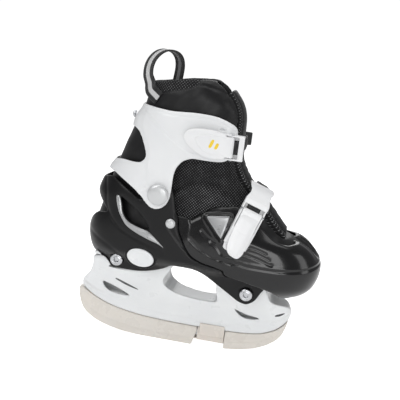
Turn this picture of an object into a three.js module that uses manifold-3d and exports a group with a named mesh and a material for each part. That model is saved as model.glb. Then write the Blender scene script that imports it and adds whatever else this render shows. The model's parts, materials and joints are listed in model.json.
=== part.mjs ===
// Adjustable child's ice-hockey-style skate: hard two-part shell that telescopes in length, hinged ankle cuff,
// padded liner with tongue, two ratchet buckles with ladder straps, hull-shaped blade holder, steel runner and
// a two-piece slide-on blade guard. Millimetres. +X to the toe, +Y to the inner side of the foot, +Z up.
// Origin: middle of the flat tread under the rear half of the blade guard.
import * as THREE from "three";
import { mergeVertices } from "three/addons/utils/BufferGeometryUtils.js";
import Module from "manifold-3d";
const wasm = await Module();
wasm.setup();

// ------------------------------------------------------------------ driving dimensions
const PIVOT = [-23, 171];           // ankle hinge of the cuff, x and z
const GUIDE = [-7, 143];            // guide rivet of the sliding toe shell
const BOLT_REAR = [-63, 91];        // cross bolts that hold the blade holder
const BOLT_FRONT = [78, 76];
const BUTTON = [-35, 101];          // size-adjust push button
const TOE_TRAVEL = 20;              // length adjustment
const SHELL_T = 2.7;                // shell wall
const CUFF_T = 2.8;                 // cuff wall
const RAIL_W = 7;                   // half width of the holder's rail
const RUNNER_T = 1.5;               // half thickness of the steel
const GAP = 0.4;                    // clearance between neighbours

// ------------------------------------------------------------------ solids
function solid(geometry) {
  let g = geometry.index ? geometry.toNonIndexed() : geometry.clone();
  for (const k of Object.keys(g.attributes)) if (k !== "position") g.deleteAttribute(k);
  g = mergeVertices(g, 1e-4);
  return new wasm.Manifold(new wasm.Mesh({
    numProp: 3,
    vertProperties: new Float32Array(g.attributes.position.array),
    triVerts: new Uint32Array(g.index.array),
  }));
}
function geometryOf(s) {
  const m = s.getMesh();
  const g = new THREE.BufferGeometry();
  const n = m.numProp, count = m.vertProperties.length / n, p = new Float32Array(count * 3);
  for (let i = 0; i < count; i++) for (let k = 0; k < 3; k++) p[3 * i + k] = m.vertProperties[n * i + k];
  g.setAttribute("position", new THREE.BufferAttribute(p, 3));
  g.setIndex(new THREE.BufferAttribute(new Uint32Array(m.triVerts), 1));
  g.computeVertexNormals();
  return g;
}
// closes up edges shorter than tol, which a trim leaves where two faces nearly coincide
function weld(g, tol = 0.04) {
  const p = g.attributes.position.array, t = Array.from(g.index.array), up = Array.from({ length: p.length / 3 }, (_, i) => i);
  const root = (i) => { while (up[i] !== i) i = up[i]; return i; };
  const len = (a, b) => Math.hypot(p[3 * a] - p[3 * b], p[3 * a + 1] - p[3 * b + 1], p[3 * a + 2] - p[3 * b + 2]);
  for (let i = 0; i < t.length; i += 3) for (let k = 0; k < 3; k++) {
    const a = t[i + k], b = t[i + ((k + 1) % 3)];
    if (len(a, b) < tol && root(a) !== root(b) && len(root(a), root(b)) < 2 * tol) up[root(b)] = root(a);
  }
  const out = [];
  for (let i = 0; i < t.length; i += 3) {
    const [a, b, c] = [root(t[i]), root(t[i + 1]), root(t[i + 2])];
    if (a !== b && b !== c && c !== a) out.push(a, b, c);
  }
  const h = new THREE.BufferGeometry();
  h.setAttribute("position", g.attributes.position.clone());
  h.setIndex(out);
  try { const s = solid(h); return s.decompose().length === 1 ? geometryOf(s) : g; } catch { return g; }
}
const cut = (a, ...b) => b.reduce((x, y) => x.subtract(y), a);
const join = (a, ...b) => b.reduce((x, y) => x.add(y), a);

// closed loft through rings of equal count; each ring is a list of [x, y, z]
function loft(rings) {
  const n = rings[0].length, v = [], t = [];
  for (const r of rings) for (const p of r) v.push(...p);
  const id = (r, i) => r * n + ((i + n) % n);
  for (let r = 0; r + 1 < rings.length; r++)
    for (let i = 0; i < n; i++) {
      t.push(id(r, i), id(r, i + 1), id(r + 1, i + 1));
      t.push(id(r, i), id(r + 1, i + 1), id(r + 1, i));
    }
  for (const [r, flip] of [[0, true], [rings.length - 1, false]]) {
    const c = [0, 0, 0];
    for (const p of rings[r]) for (let k = 0; k < 3; k++) c[k] += p[k] / n;
    v.push(...c);
    const ci = v.length / 3 - 1;
    for (let i = 0; i < n; i++)
      flip ? t.push(ci, id(r, i + 1), id(r, i)) : t.push(ci, id(r, i), id(r, i + 1));
  }
  const g = new THREE.BufferGeometry();
  g.setAttribute("position", new THREE.BufferAttribute(new Float32Array(v), 3));
  g.setIndex(t);
  let s = solid(g);
  if (s.volume() < 0) {
    for (let i = 0; i < t.length; i += 3) [t[i + 1], t[i + 2]] = [t[i + 2], t[i + 1]];
    g.setIndex(t);
    s = solid(g);
  }
  return s;
}
// side-view outline (x, z) extruded across y0..y1
function prismY(points, y0, y1, smooth = false) {
  let pts = points.map((p) => new THREE.Vector2(p[0], p[1]));
  if (smooth) pts = new THREE.SplineCurve([...pts, pts[0]]).getPoints(smooth);
  const g = new THREE.ExtrudeGeometry(new THREE.Shape(pts), { depth: y1 - y0, bevelEnabled: false, curveSegments: 8 });
  g.rotateX(Math.PI / 2); // shape's y becomes z, depth runs to -y
  g.translate(0, y1, 0);
  return solid(g);
}
function prismZ(points, z0, z1) {
  const g = new THREE.ExtrudeGeometry(new THREE.Shape(points.map((p) => new THREE.Vector2(p[0], p[1]))), { depth: z1 - z0, bevelEnabled: false });
  g.translate(0, 0, z0);
  return solid(g);
}
function rod(r, y0, y1, x, z, seg = 20) { // cylinder along y
  const g = new THREE.CylinderGeometry(r, r, y1 - y0, seg);
  g.translate(0, (y0 + y1) / 2, 0);
  g.translate(x, 0, z);
  return solid(g);
}
function box(x0, x1, y0, y1, z0, z1) {
  const g = new THREE.BoxGeometry(x1 - x0, y1 - y0, z1 - z0);
  g.translate((x0 + x1) / 2, (y0 + y1) / 2, (z0 + z1) / 2);
  return solid(g);
}
function turned(profile, seg, place) { // lathe about y, profile of [radius, height]
  const g = new THREE.LatheGeometry(profile.map((p) => new THREE.Vector2(p[0], p[1])), seg);
  place(g);
  let s = solid(g);
  if (s.volume() < 0) { g.scale(1, 1, 1); const i = g.index.array; for (let k = 0; k < i.length; k += 3) { const a = i[k]; i[k] = i[k + 1]; i[k + 1] = a; } s = solid(g); }
  return s;
}
// strip of rectangular section along a path; width direction given at each point
function band(path, widthDirs, width, thick, lift = 0) {
  const rings = [], n = path.length;
  for (let i = 0; i < n; i++) {
    const p = new THREE.Vector3(...path[i]);
    const a = new THREE.Vector3(...path[Math.max(0, i - 1)]), b = new THREE.Vector3(...path[Math.min(n - 1, i + 1)]);
    const t = b.sub(a).normalize();
    const w = new THREE.Vector3(...widthDirs[i]);
    w.addScaledVector(t, -w.dot(t)).normalize();
    const nrm = new THREE.Vector3().crossVectors(t, w).normalize();
    const wd = Array.isArray(width) ? width[i] : width;
    const ring = [];
    for (const [su, sn] of [[-1, -1], [1, -1], [1, 1], [-1, 1]]) {
      const q = p.clone().addScaledVector(w, (su * wd) / 2).addScaledVector(nrm, (sn * thick) / 2 + lift);
      ring.push([q.x, q.y, q.z]);
    }
    rings.push(ring);
  }
  return loft(rings);
}

// ------------------------------------------------------------------ boot form
const table = (rows) => (z) => {
  if (z <= rows[0][0]) return rows[0][1];
  for (let i = 1; i < rows.length; i++)
    if (z <= rows[i][0]) {
      const [a, va] = rows[i - 1], [b, vb] = rows[i];
      return va + ((vb - va) * (z - a)) / (b - a);
    }
  return rows[rows.length - 1][1];
};
// plan outline at one height: rounded heel of length Lr, rounded toe of length Lf
function ring(z, f, off, nr = 6, nm = 6, nf = 8) {
  const xr = f.xr(z) - off, xf = f.xf(z) + off, e = 2 / f.n, out = [];
  const fit = Math.min(1, (0.9 * (xf - xr)) / (f.Lr(z) + f.Lf(z))), Lr = f.Lr(z) * fit, Lf = f.Lf(z) * fit;
  const hw = (x) => (f.hw(z) * f.fx(x) + off);
  const half = [];
  for (let i = 0; i <= nr; i++) { const t = (i / nr) * Math.PI / 2, x = xr + Lr - Lr * Math.cos(t) ** e; half.push([x, hw(x) * Math.sin(t) ** e]); }
  for (let i = 1; i < nm; i++) { const x = xr + Lr + ((xf - Lf - xr - Lr) * i) / nm; half.push([x, hw(x)]); }
  for (let i = 0; i <= nf; i++) { const t = (i / nf) * Math.PI / 2, x = xf - Lf + Lf * Math.sin(t) ** e; half.push([x, hw(x) * Math.max(0, Math.cos(t)) ** e]); }
  for (const [x, y] of half) out.push([x, -y, z]);
  for (let i = half.length - 2; i > 0; i--) out.push([half[i][0], half[i][1], z]);
  return out;
}
const form = (f, zs, off = 0, a, b, c) => loft(zs.map((z) => ring(z, f, off, a, b, c)));

// liner: foot and ankle
const LINER = {
  xr: table([[80, -80], [95, -88], [105, -95], [115, -97.3], [125, -96.5], [134, -94], [149, -90], [165, -86], [180, -82], [193, -77], [210, -72], [228, -65.6], [240, -60.4], [256, -54.4], [269, -52.2], [280, -50], [290, -46]]),
  xf: table([[80, 128], [88, 134], [95, 139], [105, 142], [115, 141], [125, 136], [131, 128], [137, 118], [144, 109], [153, 101], [164, 92], [173, 83], [186, 69], [195, 62], [204, 56.5], [212, 53], [225, 51], [240, 51], [253, 51], [262, 49], [270, 45], [280, 37], [290, 26]]),
  hw: table([[80, 31], [92, 31.4], [98, 34.8], [104, 40.2], [110, 41], [125, 40.2], [140, 37.4], [155, 35.7], [171, 36.2], [185, 38.2], [200, 38.4], [215, 38.8], [240, 39], [256, 38], [270, 37.2], [282, 36], [290, 34]]),
  fx: table([[-97, 0.86], [-60, 0.88], [-30, 0.915], [0, 0.935], [20, 0.95], [40, 0.97], [80, 1], [120, 1], [150, 0.98]]),
  Lr: table([[95, 50], [150, 46], [200, 46], [290, 44]]),
  Lf: table([[95, 58], [130, 60], [150, 80], [200, 62], [290, 46]]), n: 2.25,
};
// rear shell
const REAR = {
  xr: table([[66, -86], [78, -92], [90, -96], [98, -98.5], [106, -100.5], [112, -101.8], [122, -102.5], [130, -101], [140, -98.5], [150, -97], [162, -96], [172, -92.5], [182, -90]]),
  xf: table([[66, 120], [182, 120]]),
  hw: table([[66, 30.4], [84, 31.4], [92, 33.5], [98, 41.2], [104, 46], [112, 46.8], [130, 46.6], [150, 45.6], [171, 44.9], [182, 44.5]]),
  fx: table([[-97, 0.88], [-60, 0.9], [-23, 0.96], [0, 0.985], [20, 1], [90, 1]]),
  Lr: table([[66, 36], [98, 46], [182, 48]]), Lf: table([[66, 20], [182, 20]]), n: 2.25,
};
// toe shell
const TOE = {
  xr: table([[74, -70], [182, -70]]),
  xf: table([[74, 124], [77, 133], [80, 138], [85, 143], [90, 146.5], [100, 150], [108, 151], [115, 150.5], [120, 149.2], [125, 146.8], [130, 142.5], [134, 137], [137, 130], [140, 122], [145, 113], [150, 106], [155, 101], [160, 97], [165, 92], [176, 84]]),
  hw: table([[74, 26], [77, 33], [80, 37], [85, 41.5], [90, 44.2], [100, 45.8], [108, 46.6], [115, 46.6], [122, 46], [131, 45], [140, 43.5], [148, 42.4], [156, 41], [164, 40], [176, 37]]),
  fx: table([[-70, 0.88], [-33, 0.89], [0, 0.905], [20, 0.92], [50, 0.972], [80, 1], [150, 1]]),
  Lr: table([[74, 20], [182, 20]]), Lf: table([[74, 50], [110, 56], [130, 66], [150, 82], [176, 66]]), n: 2.35,
};
// cuff
const CUFF = {
  xr: table([[150, -93], [172, -92], [181, -90.5], [189, -87.5], [193, -84.5], [200, -80.5], [210, -76.5], [228, -69.5], [234, -67], [240, -65], [250, -60.5], [262, -56]]),
  xf: table([[150, 60], [262, 60]]),
  hw: table([[150, 47.6], [171, 47.4], [190, 46.4], [212, 45], [240, 43.8], [262, 42.4]]),
  fx: table([[-95, 1], [80, 1]]),
  Lr: table([[150, 62], [262, 52]]), Lf: table([[150, 30], [200, 24], [262, 22]]), n: 2.2,
};

const material = (hex, roughness, metalness, extra = {}) => new THREE.MeshStandardMaterial({ color: hex, roughness, metalness, ...extra });
const M = {
  white: material(0xf0f1f0, 0.35, 0), black: material(0x1a1a1c, 0.4, 0), gloss: material(0x141416, 0.22, 0),
  silver: material(0xb9babb, 0.3, 0.5), steel: material(0xc9cacc, 0.25, 1), chrome: material(0xd8d9da, 0.15, 1),
  fabric: material(0x161618, 0.9, 0), leather: material(0x1b1b1d, 0.5, 0), foam: material(0x2a2a2c, 0.9, 0),
  guard: material(0xe6e0d5, 0.3, 0), web: material(0x101011, 0.85, 0), spring: material(0x9a9b9d, 0.3, 1),
};
const skate = new THREE.Group();
skate.name = "skate";
function add(name, s, mat, parent = skate) {
  const m = new THREE.Mesh(weld(s.isBufferGeometry ? s : geometryOf(s)), mat);
  m.name = name;
  parent.add(m);
  return m;
}
const main = (s) => s.decompose().sort((a, b) => b.volume() - a.volume())[0]; // drops slivers left by a trim

// ------------------------------------------------------------------ blade: runner, holder, guard
const BOTTOM = [[-106, 45], [-90, 36.5], [-75, 30.5], [-62, 27], [-40, 23.5], [-18, 22], [10, 21.2], [49, 21.2], [80, 22.6], [99, 25.5], [113, 31.5], [121, 38], [126.5, 45.5]];
const under = table(BOTTOM);
const HULL_SIDE = [[-90, 93.2], [-90, 80], [-94.5, 68], [-104, 57], [-107, 51], ...BOTTOM, [128, 52], [127, 58], [123, 62.5], [114, 64.8], [107, 66.5], [102.5, 70.5], [100, 79], [91, 93.2]];
const TOPZ = table([[-110, 96], [-12, 95.6], [30, 92.5], [45, 90], [95, 84.5], [130, 84]]);
function hullSection(x, off) { // outer half section from keel to gunwale
  const zb = under(x) - 2.2, end = Math.min(1, Math.max(0, (x + 108) / 26)), bow = Math.min(1, Math.max(0, (129 - x) / 34));
  const e = Math.sqrt(Math.max(0.02, 1 - (1 - end) ** 2)) , b = Math.sqrt(Math.max(0.012, 1 - (1 - bow) ** 2));
  const k = Math.min(e, b);
  const prof = [[zb, RAIL_W * Math.max(0.45, k)], [zb + 12, (RAIL_W + 0.6) * Math.max(0.4, k)], [45, 10.4 * k + 0.4], [56, 15 * k + 0.4], [66, 20.5 * k + 0.4], [76, 25 * k + 0.4], [84, 27.4 * k], [98, 28.2 * k]];
  return prof.map(([z, w], i) => [Math.max(1.2, w - off), Math.max(z, zb + i * 0.5)]);
}
function hull(off, lift, x0, x1) {
  const rings = [];
  for (const x of [-109, -105.3, -99.3, -91.7, -81.4, -66.6, -45.7, -20.6, 10.4, 40.5, 64.3, 81.6, 94.2, 104.6, 112.3, 118.4, 124.6, 129].filter((x) => x >= x0 && x <= x1)) {
    const s = hullSection(x, off), r = [];
    for (const [y, z] of s) r.push([x, -y, z + (z < 44 ? lift : 0)]);
    for (const [y, z] of [...s].reverse()) r.push([x, y, z + (z < 44 ? lift : 0)]);
    rings.push(r);
  }
  return loft(rings);
}
const WINDOW = [[-2, 92], [-12.5, 75], [-10, 66], [2, 59], [24, 55.4], [44, 55.4], [48, 58], [44.5, 76], [47, 110], [-2, 110]];
const SLOT_R = [[-80, 60], [-70, 56], [-60, 51.5], [-49, 45], [-56, 44.2], [-66, 45], [-74, 47.5], [-79, 53]];
const SLOT_F = [[66.5, 51.5], [72, 49], [83, 45.6], [97, 43.6], [88, 41], [80, 41], [73, 44]];
const belowSole = prismY([[-130, -10], [150, -10], [150, 84], [97, 84], [45, 88.6], [30, 92], [-12, 95.2], [-130, 95.2]], -60, 60);
let holder = hull(0, 0, -200, 200).intersect(prismY(HULL_SIDE, -60, 60)).intersect(belowSole);
const hollow = hull(2.8, 16, -98, 121);
holder = cut(holder, hollow.intersect(prismY([[-84, 90], [-84, 66], [-96, 54], [-80, 44], [-40, 39], [40, 37], [96, 38], [112, 43], [120, 52], [118, 120], [-84, 120]], -60, 60)));
// mounting decks that close the top of the two pedestals
const deckR = hull(1.2, 0, -98, 121).intersect(box(-89, -6, -60, 60, 92.0, 95.2));
const deckF = hull(1.2, 0, -98, 121).intersect(prismY([[47, 85], [97, 80.2], [97, 84], [47, 88.3]], -60, 60));
holder = join(holder, deckR, deckF);
// cross bosses round the bolts
const bossR = rod(7.2, -24, 24, ...BOLT_REAR, 14), bossF = rod(7.2, -22.5, 22.5, ...BOLT_FRONT, 14);
holder = join(holder, bossR.intersect(hull(0.8, 0, -200, 200)).intersect(belowSole), bossF.intersect(hull(0.8, 0, -200, 200)).intersect(belowSole));
holder = cut(holder, prismY(WINDOW, -60, 60), prismY(SLOT_R, -60, 60), prismY(SLOT_F, -60, 60),
  rod(4.6, -60, 60, ...BOLT_REAR, 14), rod(4.6, -60, 60, ...BOLT_FRONT, 14));
// slot for the runner
const RUNNER_TOP = BOTTOM.filter((p) => p[0] > -96 && p[0] < 118).map(([x, z]) => [x, z + 12]);
const EDGE = [[-103, 40], [-99.5, 32], [-92, 25], [-80, 19], [-62, 14.2], [-40, 11.7], [-18, 10.7], [10, 10.4], [49, 10.4], [70, 11.8], [90, 15.2], [104, 20.4], [113, 26.2], [119, 33.5], [121, 39]];
const runnerSide = [...EDGE, ...[...RUNNER_TOP].reverse()];
const runner = prismY(runnerSide, -RUNNER_T, RUNNER_T);
const grow = (pts, d) => { const c = [pts.reduce((a, p) => a + p[0], 0) / pts.length, pts.reduce((a, p) => a + p[1], 0) / pts.length]; return pts.map(([x, z]) => { const l = Math.hypot(x - c[0], z - c[1]); return [x + ((x - c[0]) / l) * d * 0.6, z + Math.sign(z - c[1]) * d]; }); };
holder = cut(holder, prismY(grow(runnerSide, 0.4), -RUNNER_T - 0.35, RUNNER_T + 0.35));
add("steel_runner", runner, M.steel);

// guard halves: channels round the runner
const SOLE = [[-110, 44], [-109, 34], [-104, 22.5], [-98, 15.5], [-88, 9.6], [-74, 5], [-56, 1.6], [-40, 0.3], [-30, 0], [38, 0], [62, 1.8], [78, 3.8], [94, 7.6], [107, 13.5], [116, 20.5], [121.5, 28], [124.5, 36], [126.5, 44.5]];
const LIP = BOTTOM.map(([x, z]) => [x, z - 0.5]);
function guardSide(x0, x1) {
  const lo = SOLE.filter((p) => p[0] > x0 && p[0] < x1), hi = LIP.filter((p) => p[0] > x0 && p[0] < x1).reverse();
  const f = table(SOLE), g = table(LIP);
  const a = x0 < -112 ? [] : [[x0, g(x0)], [x0, f(x0)]], b = x1 > 128 ? [] : [[x1, f(x1)], [x1, g(x1)]];
  return [...a, ...lo, ...b, ...hi];
}
function guardPlan(off) { // plan outline, boat shaped
  const pts = [], w = 6.4 - off;
  for (let i = 0; i <= 8; i++) { const t = (i / 8) * Math.PI; pts.push([-101 - Math.sin(t) * (9 - off), w * Math.cos(t) * -1]); }
  const o = [];
  for (let i = 0; i <= 8; i++) { const t = (i / 8) * Math.PI; o.push([117 + Math.sin(t) * (9.5 - off), w * Math.cos(t)]); }
  return [...pts.reverse(), ...o.reverse()];
}
// section: upright sides that flare to a wider tread
const guardForm = loft([[-6, -2.6], [3.2, -2.6], [7, -1.9], [13, -0.9], [20, -0.5], [60, -0.4]].map(([z, off]) => guardPlan(off).map(([x, y]) => [x, y, z])));
const guardBody = (x0, x1) => prismY(guardSide(x0, x1), -20, 20).intersect(guardForm);
const CHANNEL = [...EDGE.map(([x, z]) => [x + (x < -60 ? -0.8 : x > 90 ? 0.8 : 0), z - 0.6]), [122.2, 60], [-104, 60]];
const channel = prismY(CHANNEL, -RUNNER_T - 0.6, RUNNER_T + 0.6);
const GX = [29, 60]; // the two halves end here; the link bridges them
let guardR = cut(guardBody(-200, GX[0]), channel, prismY([[23.5, -1], [GX[0] + 0.2, 16.5], [40, 16.5], [40, -1]], -20, 20)), guardF = cut(guardBody(GX[1], 200), channel);
// link: raised saddle between the halves, sliders that run in a pocket of each, and side clips over the holder's rail
let link = join(box(GX[0] + 0.4, GX[1] - 0.4, -6.2, 6.2, 6.0, 20.6), box(GX[0] - 14, GX[1] + 26, -4.6, 4.6, 6.0, 7.7));
link = cut(link, channel, box(GX[0] - 45, GX[1] + 3, -RUNNER_T - 0.6, RUNNER_T + 0.6, 9.7, 60));
const clipA = cut(box(GX[0] + 2.5, GX[1] - 0.4, -8.9, 8.9, 17.5, 27), box(GX[0] - 4, GX[1] + 4, -7.75, 7.75, 10, 40));
const clipB = cut(box(GX[0] + 2.5, GX[1] - 0.4, -8.9, 8.9, 13, 17.6), box(GX[0] - 4, GX[1] + 4, -5.6, 5.6, 10, 40));
link = join(link, clipA, clipB);
guardR = cut(guardR, box(GX[0] - 14.6, GX[0] + 5, -5.1, 5.1, 5.5, 8.2));
guardF = cut(guardF, box(GX[1] - 5, GX[1] + 27.5, -5.1, 5.1, 5.5, 8.2));
add("guard_rear_half", guardR, M.guard);
add("guard_front_half", guardF, M.guard);
add("guard_link_clip", link, M.guard);

// ------------------------------------------------------------------ rear shell with chassis arms
const ZR = [66, 84, 92, 98, 104, 112, 122, 134, 152, 172, 186];
let rear = cut(form(REAR, ZR, 0, 6, 4, 2), form(REAR, [60, ...ZR.slice(1, -1), 192], -SHELL_T, 6, 4, 2));
// floor plate above the holder, under the liner
const floor = form(REAR, [96, 97, 98.2], -SHELL_T + 0.5, 6, 4, 2).intersect(box(-100, 96, -31.2, 31.2, 90, 98.2));
const REAR_SIDE = [[-110, 174], [-92, 174.6], [-84, 177.6], [-77, 180], [-66, 176], [-51, 167.5], [-41, 161.5], [-38.5, 167], [-37, 176], [-31, 183], [-22, 185], [-13, 182], [-7.5, 174], [-4, 158], [0, 146], [1, 136], [9, 121], [17, 110.5], [30, 105], [40, 103.6], [51.2, 101.4], [52.5, 93.2], [70, 91], [96, 87.8], [96, 84], [92.5, 79], [88, 69.5], [80, 64], [71, 65.6], [60, 72.6], [43, 83], [32, 90], [21, 95.2], [10, 96], [-4, 95.2], [-9, 90.5], [-20, 85.5], [-34, 81.5], [-50, 80], [-75, 81], [-80, 90], [-96, 94], [-110, 92]];
rear = rear.intersect(prismY(REAR_SIDE, -60, 60));
rear = join(rear, floor.intersect(prismY([[-100, 95.7], [30, 95.7], [33, 93.2], [46, 90.4], [96, 85.6], [96, 88.3], [47, 93.2], [31, 98.2], [-100, 98.2]], -60, 60)));
const frontDeck = prismY([[28, 93.6], [46, 89.2], [95.5, 84.8], [95.5, 87.6], [47, 92], [29, 97.4]], -31, 31);
rear = join(rear, frontDeck);
const HEEL_WINDOW = [[-75, 142.5], [-86, 152.5], [-97, 162], [-120, 163], [-120, 124], [-103, 125], [-94, 135], [-88, 139.5]];
const VENT = [[-63.5, 162], [-60.5, 156], [-58.5, 146], [-52, 138], [-41, 134], [-30.5, 131.5], [-29.5, 135], [-38, 145.5], [-52, 155.5]];
rear = cut(rear, prismY(HEEL_WINDOW, -60, 60), prismY(VENT, -60, 60),
  rod(4.6, -60, 60, ...BOLT_REAR, 14), rod(4.6, -60, 60, ...BOLT_FRONT, 14),
  rod(4.3, -60, 60, ...PIVOT, 16), rod(3.2, -60, 60, ...GUIDE, 14));
// spot faces under the bolt heads and nuts
for (const [p, y] of [[BOLT_REAR, 29.3], [BOLT_FRONT, 30.2]]) rear = cut(rear, rod(7.6, -60, -y, ...p, 18), rod(7.6, y, 60, ...p, 18));
// push-button pod on the outer side only
const oval = (a, b, tilt, n = 24) => Array.from({ length: n }, (_, i) => { const t = (i / n) * 2 * Math.PI, c = Math.cos(tilt), s = Math.sin(tilt); const x = a * Math.cos(t), z = b * Math.sin(t); return [BUTTON[0] + x * c - z * s, BUTTON[1] + x * s + z * c]; });
const TILT = -0.14, POD_FACE = -42.6, POD_FLOOR = -39.7, STEM = [BUTTON[0], 94.9];
rear = join(rear, prismY(oval(17, 12, TILT), POD_FACE, -38.5));
rear = cut(rear, prismY(oval(14.9, 9.9, TILT), -60, POD_FLOOR), rod(2.7, -60, -30, ...STEM, 12));
// the holder is relieved where the shell's tabs and arms sit against it
const tabs = cut(form(REAR, [62, 66, 84, 92, 98, 104], GAP, 6, 4, 2), form(REAR, [60, 66, 84, 92, 98, 108], -SHELL_T - GAP, 6, 4, 2))
  .intersect(prismY([[-110, 91.2], [-97, 93.2], [-80.5, 89], [-75.6, 80.2], [-50, 79.2], [-34, 80.7], [-20, 84.7], [-8.6, 89.8], [-3.6, 94.4], [10, 95.2], [21, 94.4], [31.6, 89.3], [42.5, 82.4], [59.4, 72], [70.6, 64.9], [80, 63.2], [88.6, 68.9], [93.1, 78.7], [96.8, 84], [96.8, 104], [-110, 104]], -60, 60));
holder = cut(holder, tabs);
add("blade_holder", holder, M.white);

// size-adjust button: oval cap, stem through the pod floor
const button = join(prismY(oval(14.4, 9.4, TILT), POD_FACE - 1.5, POD_FACE + 0.7), rod(2.2, POD_FACE + 0.6, -35.2, ...STEM, 12));
add("size_button", button, M.white);
class Helix extends THREE.Curve {
  constructor(r, y0, y1, turns, x, z) { super(); Object.assign(this, { r, y0, y1, turns, x, z }); }
  getPoint(t, o = new THREE.Vector3()) { const a = t * this.turns * 2 * Math.PI; return o.set(this.x + this.r * Math.cos(a), this.y0 + (this.y1 - this.y0) * t, this.z + this.r * Math.sin(a)); }
}
const wire = new THREE.Shape(); wire.absarc(0, 0, 0.22, 0, 2 * Math.PI);
add("button_spring", solid(new THREE.ExtrudeGeometry(wire, { steps: 26, curveSegments: 2, bevelEnabled: false, extrudePath: new Helix(3.2, POD_FACE + 1.2, POD_FLOOR - 0.45, 2, ...STEM) })), M.spring);

// ------------------------------------------------------------------ toe shell
const ZT = [74, 77, 81, 87, 97, 108, 117, 123, 128, 132, 137, 144, 154, 164, 176];
const toeOuter = form(TOE, ZT, 0, 3, 6, 8);
const toeInner = form(TOE, [75, ...ZT.slice(2, -1), 182], -SHELL_T, 3, 6, 8).intersect(prismY([[-90, 97], [50, 97], [60, 96.4], [99, 92], [106, 88.5], [118, 79], [160, 78], [160, 190], [-90, 190]], -60, 60));
const underBody = prismY([[-40, 60], [-40, 98.9], [31.5, 98.9], [48, 94], [99, 89], [99, 60]], -33.9, 33.9);
const TOE_SIDE = [[3, 142], [10, 147.5], [22, 157], [34, 164.5], [42, 167], [55, 168.5], [66, 166], [75, 158], [84, 149.5], [99, 138.5], [112, 135], [122, 136.5], [160, 142], [160, 60], [118, 74], [104, 85.5], [95, 88.5], [70, 94], [54, 96.5], [52, 102], [40, 104.2], [27, 105.5], [18, 108], [8, 118], [3, 128]];
let toe = cut(toeOuter, toeInner, underBody).intersect(prismY(TOE_SIDE, -60, 60));
// open instep: slot that narrows to the toe, then a shallow valley between two lobes
toe = cut(toe, prismZ([[-80, -36], [40, -34], [66, -29], [84, -22], [104, -12.5], [117, -7.5], [119.5, 0], [117, 7.5], [104, 12.5], [84, 22], [66, 29], [40, 34], [-80, 36]], 104, 200));
const groove = new THREE.CylinderGeometry(7.5, 7.5, 60, 12); groove.rotateZ(Math.PI / 2); groove.rotateY(0.62); groove.translate(140, 0, 140.5);
toe = cut(toe, solid(groove));
// guide arms that run back inside the rear shell
const armSide = [[-31, 136], [-31, 150], [-22, 152], [4, 150], [12, 149], [12, 120], [4, 126], [-8, 134]];
let arms = cut(form(TOE, [104, 112, 120, 130, 140, 150, 156], -0.05, 3, 6, 3), form(TOE, [100, 112, 120, 130, 140, 150, 160], -2.0, 3, 6, 3)).intersect(prismY(armSide, -60, 60));
arms = cut(arms, box(-60, 16, -36.7, 36.7, 100, 160));
toe = join(toe, arms);
const slot = [[GUIDE[0] - TOE_TRAVEL - 0.6, GUIDE[1] - 3.3], [GUIDE[0] + 1, GUIDE[1] - 3.3], [GUIDE[0] + 3.6, GUIDE[1]], [GUIDE[0] + 1, GUIDE[1] + 3.3], [GUIDE[0] - TOE_TRAVEL - 0.6, GUIDE[1] + 3.3], [GUIDE[0] - TOE_TRAVEL - 3, GUIDE[1]]];
toe = cut(toe, prismY(slot, -60, 60));

// side ornaments that lie on a shell's outer face
const skin = (f, zs, a, b, side, outline, ...n) => cut(form(f, zs, a, ...n), form(f, [zs[0] - 3, ...zs.slice(1, -1), zs[zs.length - 1] + 3], b, ...n)).intersect(prismY(outline, side < 0 ? -60 : 2, side < 0 ? -2 : 60));
const CRESCENT = [[-68.5, 162.5], [-66, 152], [-62, 143], [-54, 132.5], [-42, 126.5], [-27, 121.5], [-17, 119], [-9, 114.5], [-21, 125], [-29, 130.8], [-41, 133.2], [-52.6, 137.2], [-59.3, 145.5], [-61.4, 156], [-64, 162.8]];
const TRIANGLE = [[29, 154], [51, 158.2], [45, 137]];
for (const [side, tag] of [[-1, "outer"], [1, "inner"]]) {
  add(`vent_trim_${tag}`, skin(REAR, [108, 112, 122, 132, 150, 162, 168], 1.3, 0.35, side, CRESCENT, 6, 4, 2), M.silver);
  add(`toe_trim_${tag}`, skin(TOE, [130, 135, 140, 148, 156, 164], 1.1, 0.35, side, TRIANGLE, 3, 6, 8), M.silver);
}

// ------------------------------------------------------------------ cuff
const CUFF_SIDE = [[-48, 257.5], [-31, 256.2], [-18, 255.4], [6, 257], [26, 256], [37, 252.8], [45.5, 249], [48.5, 244], [48, 228], [44, 216], [37, 212], [20, 211], [7, 211.6], [-2, 208], [-8, 200], [-10, 190], [-10, 171], [-13, 162], [-18, 157], [-24, 155], [-30, 156], [-36, 161], [-41, 167], [-52, 174], [-63, 180], [-77, 186], [-110, 181.5], [-110, 194], [-82, 196], [-68, 200], [-47, 200], [-43, 203], [-41, 207], [-43, 214], [-48, 224], [-54, 231], [-62, 233.5], [-110, 231.5], [-110, 258]];
const ZC = [150, 160, 172, 181, 189, 195, 204, 214, 230, 246, 262];
let cuff = cut(form(CUFF, ZC, 0, 7, 3, 5), form(CUFF, [144, ...ZC.slice(1, -1), 268], -CUFF_T, 7, 3, 5)).intersect(prismY(CUFF_SIDE, -60, 60));
cuff = cut(cuff, box(20, 90, -31, 31, 140, 270), rod(5.2, -60, 60, ...PIVOT, 18));
const screwHole = new THREE.CylinderGeometry(2.1, 2.1, 40, 12); screwHole.rotateZ(Math.PI / 2); screwHole.translate(-70, 0, 244);
cuff = cut(cuff, solid(screwHole));

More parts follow.
